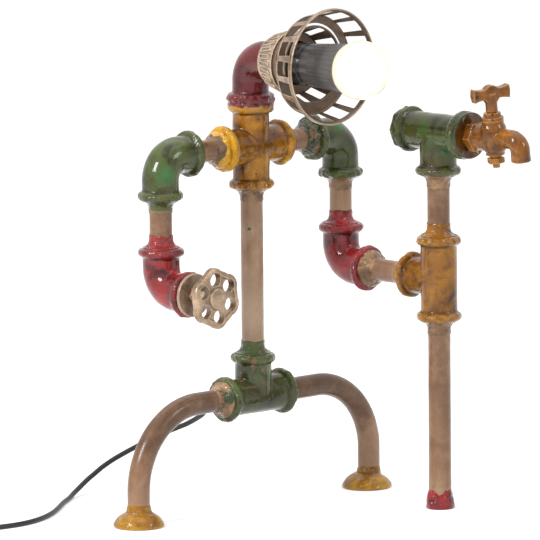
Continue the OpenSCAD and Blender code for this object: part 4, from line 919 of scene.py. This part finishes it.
def make_handwheel():
    s = bpy.context.scene.pipe_lamp_varnish
    hole = lathe([(0, WHEEL_BACK - 2), (HOLE_R, WHEEL_BACK - 2), (HOLE_R, WHEEL_FRONT - 1.6),
                  (HOLE_R + 0.6, WHEEL_FRONT + 0.2), (HOLE_R + 0.6, WHEEL_FRONT + 2), (0, WHEEL_FRONT + 2)],
                 away(LEFT_WRIST, RIGHT, HOLE_PITCH_R), FRONT, 40)
    dip = lathe([(10, WHEEL_FRONT - 1.4), (21.1, WHEEL_FRONT - 1.4), (21.1, WHEEL_FRONT + 2), (10, WHEEL_FRONT + 2)],
                LEFT_WRIST, FRONT, 72, closed=True)
    piece("handwheel_cast", [wheel_disc(s.wheel_turn)], 0.45, 4, "bronze", ["handwheel"],
          lumps((0.12, 6, 400), (0.05, 2.5, 401)), "handwheel",
          cuts=[copies(hole, 6, -s.wheel_turn, LEFT_WRIST), dip])
    cap = [(0, WHEEL_FRONT - 1), (9.9, WHEEL_FRONT - 1), (9.9, WHEEL_FRONT + 0.7), (9.3, WHEEL_FRONT + 1.15),
           (0, WHEEL_FRONT + 1.2)]
    piece("wheel_cap_disc", [lathe(cap, LEFT_WRIST, FRONT)], 0.4, 2, "bronze", ["wheel_cap"], body="handwheel")
    spindle = [(0, 34.4), (2.9, 34.4), (2.9, 49.9), (5, 49.9), (5, WHEEL_BACK), (3.5, WHEEL_BACK), (3.5, 76), (0, 76)]
    ob = edged(made("wheel_spindle_rod", [lathe(spindle, LEFT_WRIST, FRONT, 40)]), 0.4)
    finished(ob, "bronze", ["wheel_spindle"], "handwheel")
    plate = [(0, 38), (17.4, 38), (17.4, 42), (19.6, 42), (20.6, 42.8), (20.6, 45.2), (19.9, 45.9), (0, 46)]
    piece("wrist_plate_disc", [lathe(plate, LEFT_WRIST, FRONT, 96)], 0.6, 3, "bronze_cage", ["wrist_plate"],
          lumps((0.18, 7, 410), (0.06, 3, 411)))
    piece("dimmer_nut_hex", [node_solid("dimmer_nut")], 0.3, 2, "bronze", ["dimmer_nut"], slot="steel")


# ---------------------------------------------------------------- tap

def make_tap():
    s = bpy.context.scene.pipe_lamp_varnish
    up = vec((-math.sin(TAP_LEAN), 0, math.cos(TAP_LEAN)))
    side = vec((math.cos(TAP_LEAN), 0, math.sin(TAP_LEAN)))
    front = vec(FRONT)
    barrel = vec(TOP_TEE) + front * BARREL_Y

    def dish_rim(co):
        r = np.linalg.norm((co - vec(TOP_TEE))[:, [0, 2]], axis=1)
        return np.clip((r - 20.6) / 1.2 + np.clip(42.5 - STAFF_Y + co[:, 1], 0, 1) * (r > 20), 0, 1)

    dish = [(0, 37), (19.5, 37), (21.6, 38.6), (22.3, 41), (22.1, 43.4), (21.2, 44.4), (20.4, 44.0), (17.5, 42.8),
            (13.8, 41.9), (11.6, 41.5), (0, 41.5)]
    piece("tap_adapter_dish", [lathe(dish, TOP_TEE, FRONT, 96)], 0.6, 2, "coat_dish", ["tap_adapter"],
          lumps((0.22, 5, 500)), second=dish_rim, wrinkle=0.4)

    # the body: barrel, tail, neck, the hexagon between them, and the spout
    outline = [(0, -15.4), (9.0, -15.4), (9.2, -15.1), (9.2, -12.6), (11.6, -9.6)] \
        + [(11.8 + 4.0 * u * (1 - u), -9.4 + 21.4 * u) for u in np.linspace(0, 1, 12)] \
        + [(10.4, 15.0), (10.4, 17.8), (10.1, 18.0), (0, 18.0)]
    tail = lathe([(0, 28), (10.3, 28), (10.3, 47), (0, 47)], TOP_TEE, FRONT)
    neck = lathe([(0, 54), (12.2, 54), (12.3, 55), (12.3, BARREL_Y), (0, BARREL_Y)], TOP_TEE, FRONT)
    corners = [math.cos(a) * side + math.sin(a) * up for a in np.radians(np.arange(0, 360, 60))]
    hex_r = 13.0 / math.cos(math.radians(30))
    hexagon = solid([[vec(TOP_TEE) + front * y + c * r for c in (corners if r else corners[:1])]
                     for r, y in ((0, 46.5), (hex_r - 1.0, 46.5), (hex_r, 47.4), (hex_r, 54.6),
                                  (hex_r - 1.0, 55.5), (0, 55.5))])
    line = vec(TOP_TEE) + up
    corner = line + front * 107.9
    tip = corner - up * 20.2
    spout = bent(line + front * BARREL_Y, corner, tip, 10.2, 9.2) + [(tip, -up, 6.6), (tip + up * 9.0, -up, 6.4)]
    uneven = lumps((0.2, 6, 510), (0.1, 3, 511))
    piece("tap_body_cast", [lathe(outline, barrel, up), tail, neck, hexagon, sweep(spout, 56)], 0.5, 4, "coat_tap",
          ["tap_body"], lambda co: s.lumps * uneven(co), dark=lambda co: 0.15 + 0.3 * noise(co, 9, 512),
          wrinkle=lambda co: np.clip(((co - tip) @ -up + 10) / 6, 0, 0.5))

    collar = [(0, 17.5), (10.4, 17.5), (10.4, 20.6), (9.9, 21.2), (8.2, 21.6), (8.2, 24.8), (7.6, 25.5), (5.4, 25.5),
              (0, 25.5)]
    toward = vec((-0.687, -0.726, 0))
    pits = [barrel + toward * 10.2 + up * 19.0, barrel + toward * 8.0 + up * 23.8]
    piece("tap_collar_ring", [lathe(collar, barrel, up)], 0.45, 3, "coat_tap", ["tap_collar"],
          lambda co: 0.2 * noise(co, 3.5, 520) + dents(pits, 1.1, 0.8)(co), wrinkle=0.4,
          second=lambda co: np.maximum(spot(pits[0], 1.2)(co), spot(pits[1], 1.2)(co)))

    ob, co = piece("tap_handle_cast", [node_solid("tap_handle")], 0.45, 7, "coat_tap", ["tap_handle"],
                   lambda co: 0.25 + lumps((0.14, 5, 530), (0.06, 2.5, 531))(co), "tap_key",
                   # painted shade: the whole handle a little darker, with a random tone
                   dark=lambda co: 0.25 + 0.4 * noise(co, 9, 532))
    turn = math.radians(-17)
    arm = math.cos(turn) * side + math.sin(turn) * vec(BACK)
    pit = np.hypot((co - barrel) @ arm + 16.0, (co - barrel) @ up - 42.5)
    attribute(ob, "second", np.clip(1.6 - pit / 1.7, 0, 1) * (normals(ob) @ front > 0.2))

    washer = lathe([(3.7, -18.1), (5.7, -18.1), (5.7, -15.8), (3.7, -15.8)], barrel, up, 48, closed=True)
    piece("tap_washer_ring", [washer], 0.35, 2, "coat_tap", ["tap_washer"], body="tap_key", slot="brass")
    piece("tap_nut_hex", [node_solid("tap_nut")], 0.4, 4, "coat_tap", ["tap_nut"], 0.15, "tap_key")
    stem = [(0, -27.5), (3.3, -27.5), (3.6, -27.2), (3.6, -8.7), (7.4, -8.7), (7.4, 17.5), (4.5, 17.5), (4.5, 25.4),
            (3.4, 25.6), (3.4, 40), (0, 40)]
    finished(made("tap_key_stem", [lathe(stem, barrel, up, 48)]), "coat_tap", ["tap_key"], "tap_key")


# ---------------------------------------------------------------- shade

def collar_r(y):
    return 23.4 + 7.1 * (y - 34.0) / 26.0


def inner_r(y):
    """Radius of the basket's inner cone at a distance in front of the head."""
    return 29.3 + (36.7 - 29.3) * (y - 63.8) / (84.6 - 63.8)


def outer_r(y):
    return 47.2 + (53.0 - 47.2) * (y - 84.6) / 24.8


def collar_pad(width, n=14):
    """One raised pad on the collar, rounded at its ends, at the right of the axis."""
    slope = math.atan2(30.5 - 23.4, 26.0)
    rows = []
    for r_off, grow in ((-0.7, 0.1), (0.9, 0.0), (1.35, -0.3), (1.35, -0.75), (0.2, -1.15)):
        row = []
        for a in np.arange(n) * 2 * math.pi / n:
            c, q = math.cos(a), math.sin(a)
            x = (width / 2 + grow) * math.copysign(abs(c) ** 0.6, c)
            y = 47 + (9.0 + grow) * math.copysign(abs(q) ** 0.35, q) * math.cos(slope)
            row.append(vec(HEAD) + vec((collar_r(y) + r_off, -y, x)))
        rows.append(row)
    return solid([[np.mean(rows[0], 0)]] + rows + [[np.mean(rows[-1], 0)]])


def rib(cone_r, a, b, window, count):
    """A rib on a cone at the right of the axis: what the windows, this wide, leave of one share of the turn."""
    rows = []
    for y in np.linspace(a, b, 6):
        half = math.pi / count - math.asin(window / 2 / cone_r(y))
        rows.append([vec(HEAD) + vec((r * math.cos(half * q), -y, r * math.sin(half * q)))
                     for r, sign in ((cone_r(y), 1), (cone_r(y) - WALL, -1)) for q in np.linspace(-1, 1, 4) * sign])
    return solid(rows, capped=True)


def make_shade():
    s = bpy.context.scene.pipe_lamp_shade
    bronze = paint("bronze")
    pads = copies(collar_pad(s.pad_width), s.pads, 0, HEAD, bronze)
    wall = [(22.0, 34), (23.2, 34), (23.5, 34.4), (30.4, 59.6), (30.2, 60), (29.0, 60)]
    web = [(5.2, 44.0), (collar_r(44) - 0.6, 44.0), (collar_r(46) - 0.6, 46.0), (5.2, 46.0)]
    piece("shade_collar_fluted", [lathe(wall, HEAD, FRONT, 120, True), lathe(web, HEAD, FRONT, 96, True), pads],
          0.42, 1, "bronze_collar", ["shade_collar"], lumps((0.12, 4, 600), (0.05, 2, 601)),
          # painted shade: deeper bronze inside the collar
          second=lambda co: 0.6 * (np.linalg.norm((co - vec(HEAD))[:, [0, 2]], axis=1)
                                   < collar_r(RISER_Y - co[:, 1]) - 0.7))

    # the slit between the two steps stays open over the top
    top = math.degrees(math.atan2(*(axes_of(FRONT)[k][2] for k in (1, 0))))
    solids = [
        lathe([(27.2, 55), (28.4, 55), (28.4, 63.8), (27.2, 63.8)], HEAD, FRONT, 120, True),
        lathe([(20.5, 62.6), (29.3, 62.6), (29.3, 63.8), (20.5, 63.8)], HEAD, FRONT, 120, True),
        sector(35.5, 37.2, 84.6, 85.8, 0, 360, 180),
        sector(39.1, 47.2, 84.6, 85.8, 0, 360, 180),
        lathe([(51.4, 108.4), (54.3, 108.4), (54.8, 108.9), (54.8, 112.4), (54.3, 113), (53.5, 113)], HEAD, FRONT,
              180, True),
        sector(37.0, 39.3, 84.6, 85.8, top + 100, top + 260, 80),
    ]
    for f, a, b in ((inner_r, 63.7, 65.2), (inner_r, 83.2, 84.8), (outer_r, 84.6, 86.8)):
        solids.append(lathe([(f(a) - WALL, a), (f(a), a), (f(b), b), (f(b) - WALL, b)], HEAD, FRONT, 160, True))
    solids.append(copies(rib(outer_r, 86.0, 109.2, 13.9, 16), 16, -10.0, HEAD, bronze))
    solids.append(copies(rib(inner_r, 64.5, 84.0, 9.0, 11), 11, -0.6 - 180 / 11, HEAD, bronze))
    ob, co = piece("shade_basket_cage", solids, 0.42, 2, "bronze_cage", ["shade_basket"],
                   lumps((0.07, 5, 610), (0.03, 2, 611)))
    # painted shade: deeper bronze on the basket's inner faces, on its level faces near the back and over its whole
    # inner tier
    rel = (co - vec(HEAD))[:, [0, 2]]
    y = RISER_Y - co[:, 1]
    n = normals(ob)
    outward = np.einsum("ij,ij->i", n[:, [0, 2]], rel) / np.maximum(np.linalg.norm(rel, axis=1), 1)
    inside = np.clip(0.5 - outward * 2.0, 0, 1) * (y < 112)
    inside = np.where((np.abs(n[:, 1]) > 0.7) & (y < 90), 0.8, inside)
    attribute(ob, "second", np.where(y < 84, np.maximum(inside, 0.55), inside))


# ---------------------------------------------------------------- bulb

def make_bulb():
    holder = [(5.1, 46), (7.4, 46), (8.0, 46.6), (8.0, 48)] \
        + [(8 + 11.5 * u + 4.5 * u * (1 - u), 48 + 11 * u - 4.5 * u * (1 - u)) for u in np.linspace(0.1, 1, 10)] \
        + [(19.5, 77.3), (20.2, 77.5), (20.5, 78.0), (20.5, 81.5), (20.2, 82.0), (19.5, 82.2), (17.5, 91.7),
           (17.2, 92), (15.4, 92), (15.2, 91.6), (15.2, 62), (5.1, 62)]
    ob = edged(made("lampholder_shell", [lathe(holder, HEAD, FRONT, 120, True)]), 0.25)
    finished(ob, "black_gloss", ["lampholder"])

    # the skirt round the holder's mouth, then the fluted taper up to the globe
    sink_r = math.sqrt(GLOBE_R ** 2 - (GLOBE_Y - SINK_FRONT) ** 2)
    growth = (sink_r - SINK_BACK_R) / (SINK_FRONT - SINK_BACK)
    body = [(0, 91.6), (13.0, 91.6), (13.0, 93.6), (18.2, 93.6), (18.9, 92.6), (19.5, 86.8), (19.6, 86.2),
            (19.8, SINK_BACK)] \
        + [(SINK_BACK_R + growth * (y - SINK_BACK), y) for y in np.linspace(86.4, 134.6, 42)] \
        + [(sink_r, SINK_FRONT), (0, SINK_FRONT)]
    ob = made("heat_sink_body", [lathe(body, HEAD, FRONT, 240)])
    rel = points(ob) - vec(HEAD)
    y = -rel[:, 1]
    fluted = np.clip((y - 97) / 2, 0, 1) * np.clip((131.5 - y) / 1.5, 0, 1) * (np.hypot(rel[:, 0], rel[:, 2]) > 20.4)
    groove = np.clip(np.cos(np.arctan2(rel[:, 2], rel[:, 0]) * 30) * 1.6 - 0.5, 0, 1)
    swell(ob, -0.55 * groove * fluted)
    # its grey holds a painted glare from the globe
    finished(ob, "sink_grey", ["bulb_heatsink"])

    start = math.degrees(math.asin((SINK_FRONT - GLOBE_Y) / GLOBE_R))
    globe = arc((0, GLOBE_Y), GLOBE_R - 0.05, start, 90, 40)
    globe[-1] = (0, globe[-1][1])
    ob = made("globe_glass", [lathe([(0, SINK_FRONT + 0.2)] + globe, HEAD, FRONT, 120)])
    attribute(ob, "second", np.clip((SINK_FRONT + 3.5 - (RISER_Y - points(ob)[:, 1])) / 3.0, 0, 1))
    finished(ob, "globe_lit", ["bulb_globe"])


# ---------------------------------------------------------------- cord

# The cord's route behind the riser's axis: from the gland to the coil, and from the coil to the plug.
LEAD = [(0, 38, 107.7), (0, 44, 107.5), (1, 55, 105), (4, 63, 101), (8, 70, 96.5), (12, 76, 91), (16, 82, 85),
        (19, 88, 80), (21, 95, 75), (23, 107, 69), (22, 119, 63), (19, 128, 59), (14, 137, 54.5), (8, 144, 50),
        (1, 151, 45.5), (-8, 157, 40.5), (-19, 163, 34.5), (-30, 167, 29), (-41, 169, 23.5), (-52, 169, 18),
        (-63, 168, 13), (-75, 165, 8), (-87, 160, 4.5), (-98, 153, 2.8), (-109, 145.5, 2.5), (-121, 137, 2.5),
        (-133, 127.5, 2.5), (-145, 118, 2.5), (-157, 109, 2.5), (-169, 101, 2.5), (-181, 94, 2.5), (-194, 88, 2.5),
        (-207, 83.5, 2.5), (-220, 81, 2.5), (-234, 80.5, 2.5), (-247, 82, 2.5), (-259, 84, 2.5), (-271, 86, 2.5)]
TAIL = [(-270, 147, 16.83), (-260, 149, 16.83), (-250, 153, 15.5), (-241, 158.5, 12), (-232, 165, 9),
        (-223.5, 172.5, 7.3), (-216, 180, 6.8)]


def coil_route():
    """Six turns in two columns and three layers, and half a turn on top, clockwise from the front."""
    thick = 2 * CORD_R
    # where each crossing to the next turn starts and ends, and how it moves the radius and the height
    inwards, upwards, outwards = (-thick, 0), (0, thick), (thick, 0)
    crossings = ((270, 340, inwards), (630, 700, upwards), (910, 980, outwards), (1270, 1340, upwards),
                 (1540, 1610, inwards), (1900, 1970, upwards))
    out = []
    for angle in range(0, 2331, 10):
        r, z = OUTER_TURN_R, CORD_R

        def share(start, end):
            u = min(max((angle - start) / (end - start), 0.0), 1.0)
            return (math.pi / 2) * u * u * (3 - 2 * u)

        for start, end, (across, rise) in crossings:
            a = share(start, end)
            r += across * (1 - math.cos(a))
            z += rise * math.sin(a)
        a = share(1975, 2040) / 3.0
        r += thick * math.sin(a)
        z -= thick * (1 - math.cos(a))
        a = share(2240, 2330)
        r += 2.2 * math.sin(a)
        z -= 0.9 * math.sin(a)
        t = math.radians(-90 - angle)
        out.append((COIL_X + r * math.cos(t), COIL_Y + r * math.sin(t), z))
    return out


def rounded(route, step=2.5):
    """The route as a smooth curve with points about this far apart."""
    p = vec(route)
    out = []
    for i in range(len(p) - 1):
        a, b, c, d = p[max(i - 1, 0)], p[i], p[i + 1], p[min(i + 2, len(p) - 1)]
        n = max(2, int(np.linalg.norm(c - b) / step))
        for t in np.arange(n) / n:
            out.append(0.5 * ((2 * b) + (c - a) * t + (2 * a - 5 * b + 4 * c - d) * t * t
                              + (3 * b - a - 3 * c + d) * t ** 3))
    return np.array(out + [p[-1]])


def coil_tie(width=5.0, thick=0.7, angle=-20):
    """A strap round the coil's section, at an angle round the coil."""
    t = math.radians(angle)
    radial, side = vec((math.cos(t), math.sin(t), 0)), vec((-math.sin(t), math.cos(t), 0))
    centre = vec((COIL_X, COIL_Y + RISER_Y, 0))
    middle = vec((28.75, 9.0))
    rows = []
    for r, z in ((22.9, 0.2), (34.6, 0.2), (34.6, 15.4), (31.4, 20.0), (26.1, 20.0), (22.9, 15.4)):
        d = vec((r, z)) - middle
        inner = middle + d * (1 - thick / np.linalg.norm(d))
        rows.append([centre + radial * a + side * q * width / 2 + vec((0, 0, b))
                     for (a, b), q in (((r, z), -1), ((r, z), 1), (inner, 1), (inner, -1))])
    return solid(rows, closed=True)


def make_cord():
    route = rounded(LEAD + coil_route() + TAIL)
    route[:, 1] += RISER_Y
    route[:, 2] = np.maximum(route[:, 2], CORD_R)
    data = bpy.data.curves.new("mains_cord", "CURVE")
    data.dimensions, data.bevel_depth, data.bevel_resolution = "3D", CORD_R * MM, 4
    data.use_fill_caps = True
    line = data.splines.new("POLY")
    line.points.add(len(route) - 1)
    line.points.foreach_set("co", np.hstack([route * MM, np.ones((len(route), 1))]).ravel())
    line.use_smooth = True
    cord = bpy.data.objects.new("mains_cord", data)
    bpy.context.scene.collection.objects.link(cord)
    data.materials.append(paint("cable_black"))

    gland = [(0, 12), (5, 12), (5, 17.5), (6.3, 17.5), (6.5, 17.8), (6.5, 20.2), (6.2, 20.5), (5.5, 20.7)]
    for k in range(5):
        y, r = 22.5 + k * 2.8, 5.4 - k * 0.42
        gland += [(r, y), (r - 0.7, y + 0.3), (r - 0.7, y + 1.2), (r - 0.15, y + 1.5)]
    gland += [(3.3, 37.4), (3.1, 38.0), (0, 38.0)]
    piece("cord_gland_sleeve", [lathe(gland, BASE, BACK, 64)], 0.3, 1, "black_plastic", ["cord_gland"])

    plug, _ = piece("plug_shell", [node_solid("plug_body")], 0.6, 6, "black_plastic", ["plug_body"])
    way = vec((math.sqrt(0.5), math.sqrt(0.5), 0))
    across = vec((-way[1], way[0], 0))
    at = route[-1] + way * 36
    pin = made("plug_pin_pair", [lathe([(0, -3), (1.98, -3), (1.98, 18.1), (1.4, 18.9), (0, 19.0)],
                                       at + across * q * 9.3, way, 32) for q in (-1, 1)])
    finished(pin, "brass", ["plug_pins"])
    tie = edged(made("coil_tie_strap", [coil_tie()]), 0.25)
    finished(tie, "black_plastic", ())
    placed(cord, "frame", ["cord_lead", "cord_coil"])


def paint_hidden_nodes():
    """Gives the CAD nodes that no piece stands for their materials."""
    for name, coat in (("close_nipple", "steel"), ("dimmer_body", "black_plastic"), ("head_bush", "steel"),
                       ("holder_nipple", "brass"), ("lampholder_insert", "ceramic"), ("bulb_cap", "steel"),
                       ("led_board", "board_white"), ("wiring", "cable_black")):
        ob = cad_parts[name]
        if not ob.material_slots:
            ob.data.materials.append(None)
        for slot in ob.material_slots:
            slot.material = paint(coat)


# ---------------------------------------------------------------- stage

WHITE_RAYS = ("Is Camera Ray", "Is Glossy Ray", "Is Transmission Ray")


def make_floor(s, half=15000):
    """A pale floor that keeps the lamp's shadow, lifted to white where it is seen."""
    square = [(-half, -half), (half, -half), (half, half), (-half, half)]
    floor = made("studio_floor", [solid([[(x, y, z) for x, y in square] for z in (-1, 0)], capped=True)])
    p = Paint("studio_white")
    rays = p.add("ShaderNodeLightPath").outputs
    camera, glossy, through = (rays[name] for name in WHITE_RAYS)
    seen = p.maths("MAXIMUM", camera, p.maths("MAXIMUM", glossy, through))
    distance = p.add("ShaderNodeVectorMath", {0: p.place}, operation="LENGTH").outputs["Value"]
    lift = p.maths("MINIMUM", p.maths("ADD", p.maths("MULTIPLY", distance, s.floor_fade), s.floor_lift), 0.64)
    soft = p.add("ShaderNodeBsdfDiffuse", {"Color": p.ramp(p.clouds(900, 2), (0.3, 0.78), (0.7, 0.8))})
    glow = p.add("ShaderNodeEmission", {"Color": (1, 1, 1, 1), "Strength": p.maths("MULTIPLY", seen, lift)})
    floor.data.materials.append(p.ends(p.add("ShaderNodeAddShader", {0: soft.outputs[0], 1: glow.outputs[0]})))


def make_world(s):
    """Soft light from all round, and white where it is seen."""
    world = bpy.data.worlds.new("studio")
    world.use_nodes = True
    tree = world.node_tree
    tree.nodes.clear()
    rays = tree.nodes.new("ShaderNodeLightPath").outputs
    strength = s.world_light
    for name in WHITE_RAYS:
        strength = node(tree, "ShaderNodeMath", {0: rays[name], 1: strength}, operation="MAXIMUM").outputs[0]
    sky = node(tree, "ShaderNodeBackground", {"Color": (1, 1, 1, 1), "Strength": strength})
    node(tree, "ShaderNodeOutputWorld", {"Surface": sky.outputs[0]})
    bpy.context.scene.world = world


def make_stage():
    s = bpy.context.scene.pipe_lamp_stage
    scene = bpy.context.scene
    scene.view_settings.view_transform = "Standard"
    make_floor(s)
    make_world(s)

    # the camera as fitted to the photograph: angles in degrees, lengths in millimetres
    az, el, roll = (math.radians(a) for a in (-43.437, 8.276, -0.521))
    distance, offset, height, pixels_per_mm, picture = math.exp(8.892), 16.815, 227.19, 1.056, 540
    side = vec((math.cos(az), math.sin(az), 0))
    toward = vec((math.sin(az), -math.cos(az), 0))
    back = toward * math.cos(el) + vec((0, 0, math.sin(el)))
    up = np.cross(back, side)
    c, q = math.cos(roll), math.sin(roll)
    right, up = c * side + q * up, -q * side + c * up
    target = side * offset + vec((0, RISER_Y, height))
    camera = bpy.data.cameras.new("studio_camera")
    camera.sensor_width = 36.0
    camera.lens = pixels_per_mm * distance / picture * camera.sensor_width
    camera.clip_start, camera.clip_end = 0.5, 60.0
    ob = bpy.data.objects.new("studio_camera", camera)
    scene.collection.objects.link(ob)
    m = Matrix.Identity(4)
    for i in range(3):
        m[i][0], m[i][1], m[i][2], m[i][3] = right[i], up[i], back[i], (target + distance * back)[i] * MM
    ob.matrix_world = m
    scene.camera = ob

    # softboxes: metres to the right, towards the camera and above the target, size and power
    for name, across, near, above, size, power in (
            ("key_softbox", -1.3, 1.25, 1.15, (0.55, 0.7), s.key_power),
            ("fill_softbox", 1.45, 0.75, 0.95, (0.5, 0.5), s.fill_power),
            ("top_softbox", 0.1, -0.2, 2.2, (2.6, 2.6), s.top_power)):
        light = bpy.data.lights.new(name, "AREA")
        light.shape, light.size, light.size_y, light.energy = "RECTANGLE", size[0], size[1], power
        ob = bpy.data.objects.new(name, light)
        scene.collection.objects.link(ob)
        ob.location = Vector(target * MM + side * across + toward * near + vec((0, 0, above)))
        ob.rotation_mode = "QUATERNION"
        ob.rotation_quaternion = (ob.location - Vector(target * MM)).to_track_quat("Z", "Y")


# ---------------------------------------------------------------- add-on

def first_tone(name):
    """The main colour of a material as the code has it, for a property's default."""
    return tone(COATS[name][2].split()[1])[:3]


class PipeLampVarnish(bpy.types.PropertyGroup):
    skin: bpy.props.FloatProperty(
        name="Skin", description="Fineness of the castings' skin, in millimetres", default=0.8, min=0.5, max=2.0)
    lumps: bpy.props.FloatProperty(
        name="Lumps", description="Height of the lumps in the varnish", default=1.0, min=0.0, max=2.0)
    wheel_turn: bpy.props.FloatProperty(
        name="Wheel turn", description="Turn of the handwheel's first hole from the level, in degrees", default=37.0)
    coat_green: bpy.props.FloatVectorProperty(
        name="Green", description="Main colour of the green castings", subtype="COLOR", min=0.0, max=1.0,
        default=first_tone("coat_green"))
    coat_ochre: bpy.props.FloatVectorProperty(
        name="Ochre", description="Main colour of the ochre castings", subtype="COLOR", min=0.0, max=1.0,
        default=first_tone("coat_ochre"))
    coat_red: bpy.props.FloatVectorProperty(
        name="Red", description="Main colour of the red castings", subtype="COLOR", min=0.0, max=1.0,
        default=first_tone("coat_red"))
    pipe_tan: bpy.props.FloatVectorProperty(
        name="Pipe", description="Main colour of the pipes", subtype="COLOR", min=0.0, max=1.0,
        default=first_tone("pipe_tan"))


class PipeLampShade(bpy.types.PropertyGroup):
    pads: bpy.props.IntProperty(
        name="Pads", description="Raised pads round the shade's collar", default=24, min=8, max=40)
    pad_width: bpy.props.FloatProperty(
        name="Pad width", description="Width of a raised pad, in millimetres", default=4.6)


class PipeLampStage(bpy.types.PropertyGroup):
    world_light: bpy.props.FloatProperty(
        name="World light", description="Strength of the soft light from all round", default=0.5)
    floor_lift: bpy.props.FloatProperty(
        name="Floor lift", description="White added to the floor near the lamp", default=0.4)
    floor_fade: bpy.props.FloatProperty(
        name="Floor fade", description="Growth of that white per metre away from it", default=0.35)
    key_power: bpy.props.FloatProperty(
        name="Key power", description="Power of the softbox at the left", default=34.0, subtype="POWER")
    fill_power: bpy.props.FloatProperty(
        name="Fill power", description="Power of the softbox at the right", default=6.0, subtype="POWER")
    top_power: bpy.props.FloatProperty(
        name="Top power", description="Power of the softbox above", default=20.0, subtype="POWER")
    bulb_glow: bpy.props.FloatProperty(
        name="Bulb glow", description="Strength of the lit globe's own light", default=2.4)


class PIPELAMP_OT_stage(bpy.types.Operator):
    """Make the floor, the lights and the camera"""
    bl_idname = "pipelamp.stage"
    bl_label = "Stage"

    def execute(self, context):
        make_stage()
        return {"FINISHED"}


class PIPELAMP_OT_cord(bpy.types.Operator):
    """Make the mains cord, its gland, its tie and its plug"""
    bl_idname = "pipelamp.cord"
    bl_label = "Cord"

    def execute(self, context):
        make_cord()
        return {"FINISHED"}


class PIPELAMP_OT_pipes(bpy.types.Operator):
    """Make the legs, the riser, the nipples and the staff"""
    bl_idname = "pipelamp.pipes"
    bl_label = "Pipes"

    def execute(self, context):
        make_pipes()
        return {"FINISHED"}


class PIPELAMP_OT_fittings(bpy.types.Operator):
    """Make the cast fittings and the flares of their bushes"""
    bl_idname = "pipelamp.fittings"
    bl_label = "Fittings"

    def execute(self, context):
        make_fittings()
        make_flares()
        return {"FINISHED"}


class PIPELAMP_OT_feet(bpy.types.Operator):
    """Make the two feet and the staff's ferrule"""
    bl_idname = "pipelamp.feet"
    bl_label = "Feet"

    def execute(self, context):
        make_feet()
        return {"FINISHED"}


class PIPELAMP_OT_handwheel(bpy.types.Operator):
    """Make the handwheel, its spindle and the plate behind it"""
    bl_idname = "pipelamp.handwheel"
    bl_label = "Handwheel"

    def execute(self, context):
        make_handwheel()
        return {"FINISHED"}


class PIPELAMP_OT_tap(bpy.types.Operator):
    """Make the bib tap on the staff"""
    bl_idname = "pipelamp.tap"
    bl_label = "Tap"

    def execute(self, context):
        make_tap()
        return {"FINISHED"}


class PIPELAMP_OT_shade(bpy.types.Operator):
    """Make the collar with its pads, and the basket"""
    bl_idname = "pipelamp.shade"
    bl_label = "Shade"

    def execute(self, context):
        make_shade()
        return {"FINISHED"}


class PIPELAMP_OT_bulb(bpy.types.Operator):
    """Make the lampholder and the bulb, and paint the nodes inside"""
    bl_idname = "pipelamp.bulb"
    bl_label = "Bulb"

    def execute(self, context):
        make_bulb()
        paint_hidden_nodes()
        return {"FINISHED"}


OPERATORS = (PIPELAMP_OT_stage, PIPELAMP_OT_cord, PIPELAMP_OT_pipes, PIPELAMP_OT_fittings, PIPELAMP_OT_feet,
             PIPELAMP_OT_handwheel, PIPELAMP_OT_tap, PIPELAMP_OT_shade, PIPELAMP_OT_bulb)
GROUPS = {"pipe_lamp_varnish": PipeLampVarnish, "pipe_lamp_shade": PipeLampShade, "pipe_lamp_stage": PipeLampStage}


class PIPELAMP_PT_panel(bpy.types.Panel):
    bl_label = "Pipe Lamp"
    bl_idname = "PIPELAMP_PT_panel"
    bl_space_type = "VIEW_3D"
    bl_region_type = "UI"
    bl_category = "Pipe Lamp"

    def draw(self, context):
        for name in GROUPS:
            group = getattr(context.scene, name)
            box = self.layout.box()
            for key in group.__annotations__:
                box.prop(group, key)
        for op in OPERATORS:
            self.layout.operator(op.bl_idname)


CLASSES = tuple(GROUPS.values()) + OPERATORS + (PIPELAMP_PT_panel,)


def register():
    for c in CLASSES:
        bpy.utils.register_class(c)
    for name, group in GROUPS.items():
        setattr(bpy.types.Scene, name, bpy.props.PointerProperty(type=group))


def unregister():
    for name in GROUPS:
        delattr(bpy.types.Scene, name)
    for c in reversed(CLASSES):
        bpy.utils.unregister_class(c)


def main():
    register()
    bpy.ops.pipelamp.stage()
    bpy.ops.pipelamp.cord()
    bpy.ops.pipelamp.pipes()
    bpy.ops.pipelamp.fittings()
    bpy.ops.pipelamp.feet()
    bpy.ops.pipelamp.handwheel()
    bpy.ops.pipelamp.tap()
    bpy.ops.pipelamp.shade()
    bpy.ops.pipelamp.bulb()


if __name__ == "__main__":
    main()
